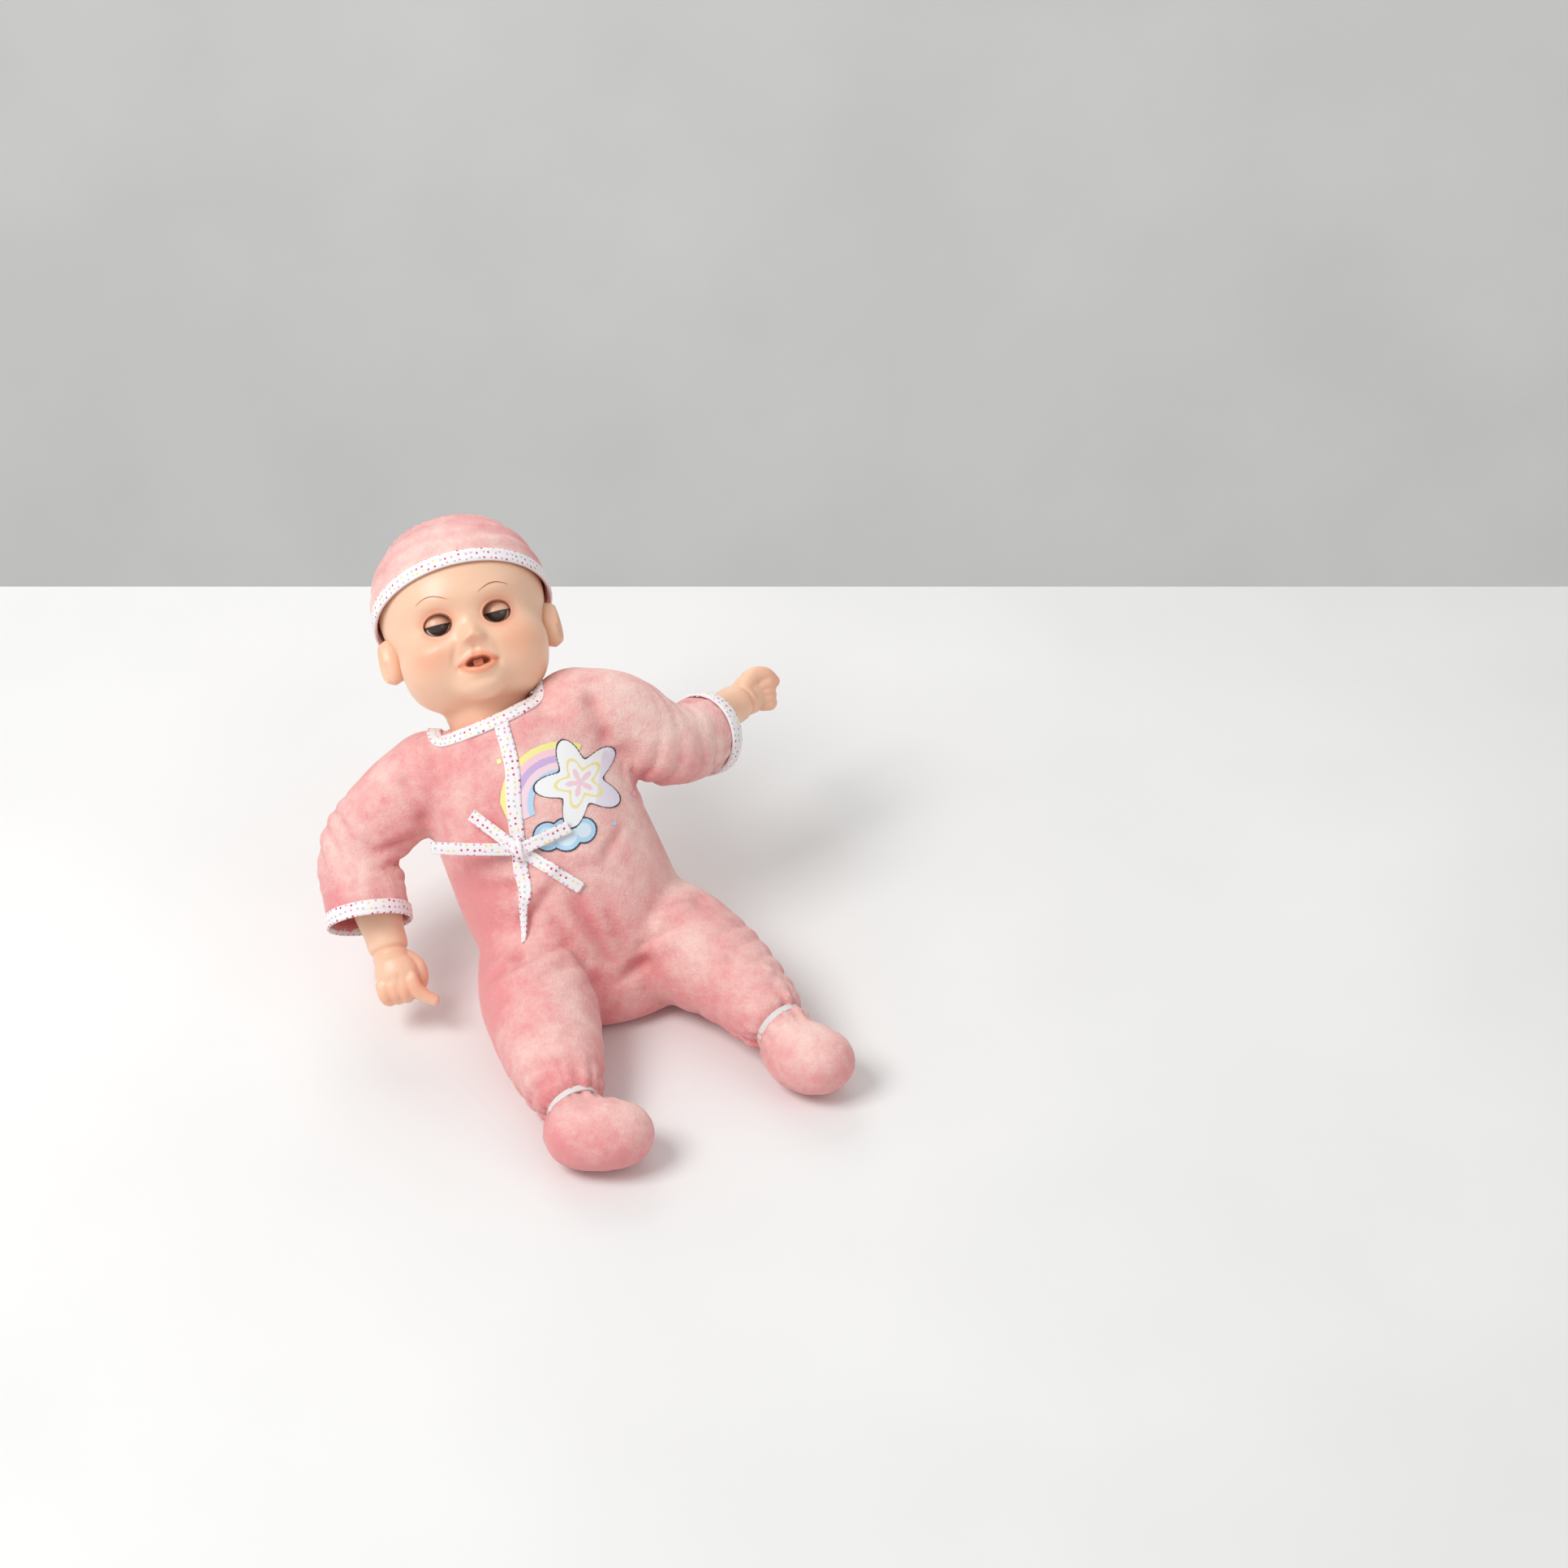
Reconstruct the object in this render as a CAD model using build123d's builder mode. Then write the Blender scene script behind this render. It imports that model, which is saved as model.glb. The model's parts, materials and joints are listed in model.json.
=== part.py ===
"""Soft-bodied interactive baby doll, seated and leaning back, in a footed romper and a cap.

A stuffed cloth body holds a sound module. The head, forearms and lower legs are hollow
vinyl. Millimetres and degrees: +Z is up, the doll faces -Y and its left side is +X. The
origin is on the table, under the middle of the hips.
"""

from build123d import *
import os
from math import radians, tan

# Pose of the seated body
hip_height = 40.0
hip_forward = 8.0
hip_spread = 42.0
pelvis_height = 41.0
torso_recline = 35.7
torso_lean = 11.8
torso_twist = -17.0
torso_length = 152.0
head_recline = 39.8
head_lean = 0.0
head_twist = -10.3

# Cloth
cloth = 2.0
seam_dip = 0.25
joint_gap = 0.5
binding_width = 9.0
binding_proud = 1.0
hem = 0.6
print_film = 0.4

# Vinyl
vinyl = 2.5

# Head, in its own frame: origin at the middle of the neck ball, +Z to the crown
cranium_radius = 51.0
cranium_centre = (0, 5, 70)
jaw_radius = 40.0
jaw_centre = (0, -8, 46)
cheek_radius = 22.0
cheek_centre = (23, -22, 38)
chin_radius = 13.0
chin_centre = (0, -32, 26)
nose_radius = 5.5
nose_centre = (0, -47, 46)
neck_radius = 28.0
neck_rise = 30.0
throat_radius = 24.0
neck_hole_radius = 10.0
ear_centre = (47, -2, 44)
ear_half_width = 8.0
ear_half_height = 13.0
ear_reach = 11.0

# Limb radii at the joints, outside the romper
hip_radius = 35.0
knee_radius = 28.0
ankle_radius = 19.5
toe_radius = 21.5
shoulder_radius = 27.0
elbow_radius = 24.5
cuff_radius = 24.0
shoulder_spread = 62.0
shoulder_drop = 22.0

# Limb steps, each from the joint before
right_leg_steps = [(-9, -65, -10), (-3, -48, -7), (10, -30, -0.5)]
left_leg_steps = [(24, -40, -4), (16, -58, -8), (9, -29, -5.5)]
right_arm_steps = [(-36, -4, -33), (-6, -38, -28)]
left_arm_steps = [(40, -15, -31), (34, 20, -12)]
right_fist_step = (1, -62, -54)
left_fist_step = (76, 50, -14)

# Vinyl hands
tie_groove_depth = 2.0
tie_width = 3.0
root_wall = 1.5
forearm_radius = 13.2
wrist_radius = 12.5
palm_radius = 16.5
finger_radius = 5.5

# Fits inside the limbs
cloth_ease = 0.3
vinyl_inset = 5.5
leg_split_share = 0.35
leg_root_inset = 12.0
limb_root_depth = 14.0
arm_split = 14.0
arm_root_radius = 12.0
turning_ease = 0.3
spare = 1.0
far = 110.0
elastic_width = 4.0
elastic_ease = 1.0
neck_tie_drop = 8.0
neck_tie_width = 4.0
neck_bore_radius = 20.0

# Room that the body leaves for the limbs
leg_room_rise = 64.0
arm_room_turns = [-8, 1, 11]
leg_room_turns = [-14, 0, 14]
arm_room_ease = 0.9
crotch_half_width = 4.0

# Eyes
eye_spread = 18.0
eye_height = 56.0
eye_setback = 30.5
eyeball_radius = 8.2
eyelid_wall = 0.6
eye_gap = 0.4
socket_wall = 1.2
lug_thickness = 1.2
lug_size = 4.4
eye_opening_width = 16.0
eye_opening_height = 12.5
eye_pin_radius = 1.2
pin_clearance = 0.06
weight_radius = 3.5
weight_drop = 15.0
weight_arm_radius = 1.0
iris_radius = 6.0
iris_thickness = 0.3

# Mouth
mouth_height = 29.0
mouth_width = 17.0
mouth_opening = 9.0
mouth_button_radius = 3.0
mouth_button_length = 14.0
mouth_travel = 2.0

# Cap
cap_tilt = 29.0
cap_skirt = 7.0
cap_ease = 0.8

# Sound module
module_height = 66.0
case_width = 62.0
case_height = 54.0
case_depth = 27.0
case_wall = 1.8
cover_wall = 2.0
pocket_ease = 1.8
speaker_radius = 13.0
speaker_depth = 6.0
speaker_rise = 10.0
speaker_side = 13.0
battery_radius = 5.2
battery_length = 44.0
battery_count = 3
battery_pitch = 11.2
contact_thickness = 0.8
board_thickness = 1.6
board_setback = -3.5
door_width = 50.0
door_height = 38.0
button_radius = 6.0
button_travel = 1.5
button_clearance = 0.25
button_side = -16.0
knob_width = 5.0
knob_travel = 3.0
screw_radius = 1.4
wire_radius = 1.2

pelvis = Location((0, 0, pelvis_height), (-torso_recline, -torso_lean, torso_twist))
neck_point = (pelvis * Location((0, 0, torso_length))).position
head = Location(neck_point, (-head_recline, -head_lean, head_twist))
torso_up = Plane(pelvis).z_dir


def spot(frame, x=0.0, y=0.0, z=0.0):
    """A point given in a body's own frame."""
    return (frame * Location((x, y, z))).position


def facing(frame, x=0.0, y=0.0, z=0.0, turn=(0, 0, 0)):
    """A plane at a point in a body's own frame, turned from that frame."""
    return Plane(frame * Location((x, y, z), turn))


def finish(piece, name):
    piece.label = name
    export_step(piece, f"parts/{name}.step")
    print(name, len(piece.solids()), round(piece.volume), piece.is_valid)


def chain(start, steps):
    joints = [Vector(start)]
    for step in steps:
        joints.append(joints[-1] + Vector(step))
    return joints


def limb_form(joints, radii, inset=0.0, ends=(0, -1)):
    """A limb lofted through round sections at its joints, with a ball at its ends."""
    across = (joints[1] - joints[0]).cross(joints[2] - joints[1]).normalized()
    with BuildPart() as form:
        for i, (centre, radius) in enumerate(zip(joints, radii)):
            before = joints[max(i - 1, 0)]
            after = joints[min(i + 1, len(joints) - 1)]
            along = (after - before).normalized()
            with BuildSketch(Plane(origin=centre, x_dir=across - along * across.dot(along), z_dir=along)):
                Circle(radius - inset - seam_dip)
        loft()
        for i in ends:
            with Locations(joints[i]):
                Sphere(radii[i] - inset)
    return form.part


def beyond(point, direction):
    """Everything past a point in a direction, as a large box."""
    with BuildPart(Plane(origin=point, z_dir=direction)) as room:
        Box(300, 300, 300, align=(Align.CENTER, Align.CENTER, Align.MIN))
    return room.part


def band(plane, inner, outer, width):
    """A flat ring round a plane's Z axis, centred on the plane."""
    with BuildPart(plane) as ring:
        Cylinder(outer, width)
        Cylinder(inner, width, mode=Mode.SUBTRACT)
    return ring.part


# Torso stations: height above the table, or along the leaning axis, then half width, half
# depth, setback of the middle, and how far the section has tilted over with the torso
seat_stations = [(0, 50, 42, 32, 0.0), (13, 62, 53, 29, 0.0)]
torso_stations = [
    (8, 66, 57, 16, 0.35),
    (42, 66, 53, 6, 0.8),
    (76, 64, 50, 0, 1.0),
    (torso_length - 42, 62, 46, 0, 1.0),
    (torso_length - 20, 56, 40, 0, 1.0),
    (torso_length - 7, 43, 34, 0, 1.0),
    (torso_length - 2, 34, 30, 0, 1.0),
]


def torso_form(inset):
    """The torso's outer form, taken in all round by an inset."""
    with BuildPart() as form:
        for height, half_width, half_depth, setback, tilt in seat_stations:
            level = max(height, inset)
            centre = spot(pelvis) + torso_up * ((level - pelvis_height) / torso_up.Z)
            with BuildSketch(Plane(Location(centre + Vector(0, setback, 0), (0, 0, torso_twist)))):
                Ellipse(half_width - inset, half_depth - inset)
        for height, half_width, half_depth, setback, tilt in torso_stations:
            centre = spot(pelvis, 0, 0, height) + Vector(0, setback, 0)
            turn = (-torso_recline * tilt, -torso_lean * tilt, torso_twist)
            with BuildSketch(Plane(Location(centre, turn))):
                Ellipse(half_width - inset, half_depth - inset)
        loft()
    return form.part


def leg_room(hip, side):
    """Where a thigh swings: the ball round the hip and the space in front of it."""
    with BuildPart() as room:
        with Locations(hip):
            Sphere(hip_radius + joint_gap)
        with Locations((side * crotch_half_width, hip.Y, hip.Z - hip_radius - 10)):
            corner = (Align.MIN if side > 0 else Align.MAX, Align.MAX, Align.MIN)
            Box(120, 120, leg_room_rise + hip_radius, align=corner)
    return room.part


def ball_room(centre, radius):
    with BuildPart() as room:
        with Locations(centre):
            Sphere(radius + joint_gap)
    return room.part


def swing_rooms(joints, side):
    """Where an arm swings about the torso's front-to-back axis, as its form at each turn."""
    axis = Axis(joints[0], Plane(pelvis).y_dir * side)
    rest = limb_form(joints, arm_radii, -arm_room_ease, ())
    return [rest.rotate(axis, turn) for turn in arm_room_turns]


def lift_rooms(joints):
    """Where a leg lifts about the line across the hips, as its form at each turn."""
    rest = limb_form(joints, leg_radii, -arm_room_ease, ())
    return [rest.rotate(Axis(joints[0], (-1, 0, 0)), turn) for turn in leg_room_turns]


os.makedirs("parts", exist_ok=True)

# Joints of the limbs
right_leg = chain((-hip_spread, -hip_forward, hip_height), right_leg_steps)
left_leg = chain((hip_spread, -hip_forward, hip_height), left_leg_steps)
right_arm = chain(spot(pelvis, -shoulder_spread, 0, torso_length - shoulder_drop), right_arm_steps)
left_arm = chain(spot(pelvis, shoulder_spread, 0, torso_length - shoulder_drop), left_arm_steps)
leg_radii = [hip_radius, knee_radius, ankle_radius, toe_radius]
arm_radii = [shoulder_radius, elbow_radius, cuff_radius]

limb_rooms = [leg_room(right_leg[0], -1), leg_room(left_leg[0], 1)]
limb_rooms += lift_rooms(right_leg)
limb_rooms += lift_rooms(left_leg)
limb_rooms.append(ball_room(right_arm[0], shoulder_radius))
limb_rooms.append(ball_room(left_arm[0], shoulder_radius))
limb_rooms += swing_rooms(right_arm, 1)
limb_rooms += swing_rooms(left_arm, -1)
limb_rooms.append(ball_room(neck_point, neck_radius))
outer_torso = torso_form(0)
inner_torso = torso_form(cloth)

with BuildPart() as romper_bodice:
    add(outer_torso)
    add(inner_torso, mode=Mode.SUBTRACT)
    for room in limb_rooms:
        add(room, mode=Mode.SUBTRACT)
finish(romper_bodice.part, "romper_bodice")

with BuildPart(facing(pelvis, 0, 0, module_height)) as pocket:
    ease = 2 * pocket_ease
    Box(case_width + ease, case_depth + ease, case_height + ease)
    with Locations((button_side, -case_depth / 2, 8)):
        Box(2 * button_radius + 3, 8, 2 * button_radius + 3)
    Cylinder(wire_radius + joint_gap, torso_length, align=(Align.CENTER, Align.CENTER, Align.MIN))

with BuildPart() as cloth_body:
    add(inner_torso)
    for room in limb_rooms:
        add(room, mode=Mode.SUBTRACT)
    add(pocket.part, mode=Mode.SUBTRACT)
finish(cloth_body.part, "cloth_body")


def surface_piece(outer_growth, region):
    """A thin piece lying on the romper's bodice, inside a region."""
    with BuildPart() as piece:
        add(torso_form(-outer_growth))
        add(outer_torso, mode=Mode.SUBTRACT)
        add(region, mode=Mode.INTERSECT)
        for room in limb_rooms:
            add(room, mode=Mode.SUBTRACT)
    return piece.part


# Bindings, bow and print on the bodice
neck_band_top = torso_length - 2
with BuildPart(facing(pelvis, 0, 0, neck_band_top - binding_width / 2)) as neck_band_region:
    Box(200, 200, binding_width)
neck_binding = surface_piece(binding_proud, neck_band_region.part)
finish(neck_binding, "neck_binding")

binding_top = (6, 134)
binding_knot = (-14, 74)
binding_end = (-34, 26)
with BuildPart() as front_band_region:
    with BuildSketch(facing(pelvis, 0, -far, 0, (90, 0, 0))):
        with BuildLine() as edge:
            Polyline(binding_top, binding_knot, binding_end)
        trace(edge.line, binding_width)
    extrude(amount=-far)
front_binding = surface_piece(binding_proud, front_band_region.part)
finish(front_binding, "front_binding")

print_centre = (24, 96)
print_radius = 34.0
with BuildPart() as print_region:
    with BuildSketch(facing(pelvis, 0, -far, 0, (90, 0, 0))):
        with Locations(print_centre):
            Circle(print_radius)
    extrude(amount=-far)
with BuildPart() as chest_print:
    add(surface_piece(print_film, print_region.part))
    add(front_band_region.part, mode=Mode.SUBTRACT)
finish(chest_print.part, "chest_print")

ribbon_width = 7.7
ribbon_thickness = 1.0
knot_size = 9.0
knot_depth = 6.0
knot_rounding = 2.0
ribbon_gap = 0.1
knot_setback = -52.2
bow_plane = facing(pelvis, binding_knot[0], knot_setback, binding_knot[1], (90, 0, 0))
ribbon_turns = [155, 0, 120, -57]
ribbon_lengths = [49, 28, 30, 40]

with BuildPart(bow_plane) as bow_knot:
    Box(knot_size, knot_size, knot_depth, align=(Align.CENTER, Align.CENTER, Align.MIN))
    fillet(bow_knot.edges(), radius=knot_rounding)
finish(bow_knot.part, "bow_knot")

with BuildPart() as bow_ribbons:
    for i, (turn, length) in enumerate(zip(ribbon_turns, ribbon_lengths)):
        level = i * (ribbon_thickness + ribbon_gap)
        with BuildSketch(Plane(bow_plane.location * Location((0, 0, level), (0, 0, turn)))):
            with Locations((knot_size * 0.75 + length / 2, 0)):
                Rectangle(length, ribbon_width)
        extrude(amount=ribbon_thickness)
finish(bow_ribbons.part, "bow_ribbons")


def vinyl_root(plane, radius, depth):
    """The plug of a vinyl limb, grooved for the tie that holds the cloth to it."""
    groove = plane.offset(-depth / 2)
    with BuildPart(plane) as plug:
        Cylinder(radius, depth, align=(Align.CENTER, Align.CENTER, Align.MAX))
    with BuildPart() as grooved:
        add(plug.part)
        add(band(groove, radius - tie_groove_depth, radius + 1, tie_width), mode=Mode.SUBTRACT)
    return grooved.part


def root_bore(plane, radius, depth):
    with BuildPart(plane) as bore:
        Cylinder(radius, depth, align=(Align.CENTER, Align.CENTER, Align.MAX))
    return bore.part


# Legs: cloth thigh, vinyl shin and foot, romper leg over both
def make_leg(name, joints):
    shin = joints[2] - joints[1]
    along = shin.normalized()
    split_plane = Plane(origin=joints[1] + shin * leg_split_share, z_dir=shin)
    root_radius = knee_radius - leg_root_inset
    inner = cloth + cloth_ease

    with BuildPart() as romper_leg:
        add(limb_form(joints, leg_radii))
        add(limb_form(joints, leg_radii, cloth), mode=Mode.SUBTRACT)
    finish(romper_leg.part, f"{name}_romper_leg")

    with BuildPart() as cloth_leg:
        add(limb_form(joints, leg_radii, inner))
        add(beyond(split_plane.origin, along), mode=Mode.SUBTRACT)
        add(root_bore(split_plane, root_radius, limb_root_depth), mode=Mode.SUBTRACT)
    finish(cloth_leg.part, f"{name}_cloth_leg")

    with BuildPart() as lower_hollow:
        add(limb_form(joints, leg_radii, vinyl_inset + vinyl))
        add(beyond(split_plane.origin + along * vinyl, along), mode=Mode.INTERSECT)
    with BuildPart() as lower_leg:
        add(limb_form(joints, leg_radii, vinyl_inset))
        add(beyond(split_plane.origin, along), mode=Mode.INTERSECT)
        add(vinyl_root(split_plane, root_radius, limb_root_depth))
        add(lower_hollow.part, mode=Mode.SUBTRACT)
    finish(lower_leg.part, f"{name}_lower_leg")

    tie_plane = split_plane.offset(-limb_root_depth / 2)
    tie = band(tie_plane, root_radius - tie_groove_depth, root_radius, tie_width)
    finish(tie, f"{name}_leg_tie")

    ankle_plane = Plane(origin=joints[2], z_dir=joints[3] - joints[1])
    elastic_outer = ankle_radius - cloth - elastic_ease
    elastic = band(ankle_plane, ankle_radius - vinyl_inset + elastic_ease, elastic_outer, elastic_width)
    finish(elastic, f"{name}_ankle_elastic")


make_leg("right", right_leg)
make_leg("left", left_leg)


def spin_plane(origin, along, radial):
    """The plane of a turned outline: X is outward, Y runs along the turning axis."""
    return Plane(origin=origin, x_dir=radial, z_dir=radial.cross(along))


def hollow_hand(outline, reach):
    """A turned vinyl forearm ending in a round fist, open at its grooved root."""
    groove_start = -(limb_root_depth + tie_width) / 2
    groove_end = groove_start + tie_width
    groove_radius = arm_root_radius - tie_groove_depth
    bore = groove_radius - root_wall
    palm_inner = palm_radius - vinyl
    wrist_inner = wrist_radius - vinyl
    wrist = reach - (palm_radius**2 - wrist_radius**2) ** 0.5
    wrist_inside = reach - (palm_inner**2 - wrist_inner**2) ** 0.5
    with BuildPart() as hand:
        with BuildSketch(outline):
            with BuildLine():
                Polyline(
                    (bore, -limb_root_depth),
                    (arm_root_radius, -limb_root_depth),
                    (arm_root_radius, groove_start),
                    (groove_radius, groove_start),
                    (groove_radius, groove_end),
                    (arm_root_radius, groove_end),
                    (arm_root_radius, 0),
                    (forearm_radius, 0),
                    (wrist_radius, wrist),
                )
                ThreePointArc((wrist_radius, wrist), (palm_radius, reach), (0, reach + palm_radius))
                Line((0, reach + palm_radius), (0, reach + palm_inner))
                ThreePointArc((0, reach + palm_inner), (palm_inner, reach), (wrist_inner, wrist_inside))
                Polyline((wrist_inner, wrist_inside), (forearm_radius - vinyl, vinyl), (bore, vinyl))
                Line((bore, vinyl), (bore, -limb_root_depth))
            make_face()
        revolve(axis=Axis(outline.origin, outline.y_dir))
    return hand.part


# Arms: cloth upper arm, vinyl forearm and hand, romper sleeve with a bound cuff
def make_arm(name, joints, fist_step, side):
    fist_step = Vector(fist_step)
    along = fist_step.normalized()
    cuff_along = (joints[2] - joints[1]).normalized()
    split_plane = Plane(origin=joints[1] + along * arm_split, z_dir=along)
    fist = joints[1] + fist_step
    inner = cloth + cloth_ease
    past_cuff = beyond(joints[2] - cuff_along * hem, cuff_along)

    with BuildPart() as romper_sleeve:
        add(limb_form(joints, arm_radii))
        add(limb_form(joints, arm_radii, cloth), mode=Mode.SUBTRACT)
        add(past_cuff, mode=Mode.SUBTRACT)
    finish(romper_sleeve.part, f"{name}_romper_sleeve")

    with BuildPart() as cuff_binding:
        add(limb_form(joints, arm_radii, -cloth_ease - binding_proud))
        add(limb_form(joints, arm_radii, -cloth_ease), mode=Mode.SUBTRACT)
        add(beyond(joints[2] - cuff_along * (binding_width + hem), cuff_along), mode=Mode.INTERSECT)
        add(past_cuff, mode=Mode.SUBTRACT)
    finish(cuff_binding.part, f"{name}_cuff_binding")

    with BuildPart() as cloth_arm:
        add(limb_form(joints, arm_radii, inner))
        add(beyond(split_plane.origin, along), mode=Mode.SUBTRACT)
        root_depth = limb_root_depth + turning_ease
        add(root_bore(split_plane, arm_root_radius + turning_ease, root_depth), mode=Mode.SUBTRACT)
    finish(cloth_arm.part, f"{name}_cloth_arm")

    start = split_plane.origin + along * turning_ease
    reach = (fist - start).length
    outline = spin_plane(start, along, along.cross(Vector(0, 0, 1)))
    forearm = hollow_hand(outline, reach)
    hand_plane = Plane(origin=fist, x_dir=Plane(pelvis).x_dir * side, z_dir=along)
    with BuildPart() as forearm_with_thumb:
        add(forearm)
        with Locations(hand_plane.from_local_coords((palm_radius * 0.85, palm_radius * 0.3, 0))):
            Sphere(finger_radius)
    finish(forearm_with_thumb.part, f"{name}_forearm")

    tie_plane = Plane(origin=start - along * (limb_root_depth / 2), z_dir=along)
    tie = band(tie_plane, arm_root_radius - tie_groove_depth, arm_root_radius, tie_width)
    finish(tie, f"{name}_arm_tie")


make_arm("right", right_arm, right_fist_step, -1)
make_arm("left", left_arm, left_fist_step, 1)


# Head
def head_balls(inset):
    with BuildPart(Plane(head)) as form:
        with Locations(cranium_centre):
            Sphere(cranium_radius - inset)
        with Locations(jaw_centre):
            Sphere(jaw_radius - inset)
    return form.part


def throat(ball, tube, length):
    with BuildPart(Plane(head)) as form:
        Sphere(ball)
        Cylinder(tube, length, align=(Align.CENTER, Align.CENTER, Align.MIN))
    return form.part


def tube_forward(frame, x, z, start, end, radius):
    """A rod along a frame's front-to-back axis, between two depths."""
    with BuildPart(facing(frame, x, start, z, (-90, 0, 0))) as rod:
        Cylinder(radius, end - start, align=(Align.CENTER, Align.CENTER, Align.MIN))
    return rod.part


def oval_forward(frame, x, z, start, end, width, height):
    """An oval prism along a frame's front-to-back axis, between two depths."""
    with BuildPart() as prism:
        with BuildSketch(facing(frame, x, start, z, (-90, 0, 0))):
            Ellipse(width / 2, height / 2)
        extrude(amount=end - start)
    return prism.part


def block(frame, centre, size):
    with BuildPart(facing(frame, *centre)) as box:
        Box(*size)
    return box.part


def eye_pin(side, radius, half_length):
    with BuildPart(facing(head, side * eye_spread, -eye_setback, eye_height, (0, 90, 0))) as pin:
        Cylinder(radius, 2 * half_length)
    return pin.part


def eye_sphere(side, radius):
    with BuildPart(facing(head, side * eye_spread, -eye_setback, eye_height)) as ball:
        Sphere(radius)
    return ball.part


socket_inner = eyeball_radius + eyelid_wall + eye_gap
socket_outer = socket_inner + socket_wall
tie_plane = facing(head, 0, 0, -neck_tie_drop)
head_inside = head_balls(vinyl)
mouth_front = -60.0
mouth_back = -20.0
before_face = -70.0
lug_end_gap = 0.4
pin_reach = socket_outer + lug_thickness - lug_end_gap
tie_groove = 4.5

with BuildPart(Plane(head)) as ears:
    for side in (-1, 1):
        with BuildSketch(facing(head, side * ear_centre[0], ear_centre[1], ear_centre[2], (0, side * 90, 0))):
            Ellipse(ear_half_height, ear_half_width)
        extrude(amount=ear_reach)

with BuildPart(Plane(head)) as features:
    with Locations(chin_centre):
        Sphere(chin_radius)
    with Locations(nose_centre):
        Sphere(nose_radius)
    with Locations(cheek_centre, (-cheek_centre[0], cheek_centre[1], cheek_centre[2])):
        Sphere(cheek_radius)

with BuildPart() as head_shell:
    add(head_balls(0))
    add(features.part)
    add(ears.part)
    add(throat(neck_radius, throat_radius, neck_rise))
    add(head_inside, mode=Mode.SUBTRACT)
    add(throat(neck_bore_radius, neck_bore_radius, neck_rise), mode=Mode.SUBTRACT)
    with Locations(Plane(head)):
        Cylinder(neck_hole_radius, 2 * neck_radius, mode=Mode.SUBTRACT)
    groove_width = neck_tie_width + 2 * turning_ease
    add(band(tie_plane, neck_radius - tie_groove, neck_radius + spare, groove_width), mode=Mode.SUBTRACT)
    for side in (-1, 1):
        eye_x = side * eye_spread
        add(eye_sphere(side, socket_inner), mode=Mode.SUBTRACT)
        add(eye_pin(side, eye_pin_radius + eye_gap, pin_reach + eye_gap), mode=Mode.SUBTRACT)
        eye_opening = (eye_opening_width, eye_opening_height)
        eye_hole = oval_forward(head, eye_x, eye_height, before_face, -eye_setback, *eye_opening)
        add(eye_hole, mode=Mode.SUBTRACT)
    mouth_hole = oval_forward(head, 0, mouth_height, before_face, mouth_back, mouth_width, mouth_opening)
    add(mouth_hole, mode=Mode.SUBTRACT)
finish(head_shell.part, "head_shell")

tie_outer = (neck_radius**2 - (neck_tie_drop + neck_tie_width / 2) ** 2) ** 0.5 - turning_ease
neck_tie = band(tie_plane, neck_radius - tie_groove + turning_ease, tie_outer, neck_tie_width)
finish(neck_tie, "neck_tie")

# Eyes, cut from boxes larger than a socket, each set off the middle plane by a gap
eye_box = 40.0


def eye_half(side, rise):
    """A box over or under an eye's middle, wide enough to hold the whole socket."""
    return block(head, (side * eye_spread, -eye_setback, eye_height + rise), (eye_box, eye_box, eye_box))


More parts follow.
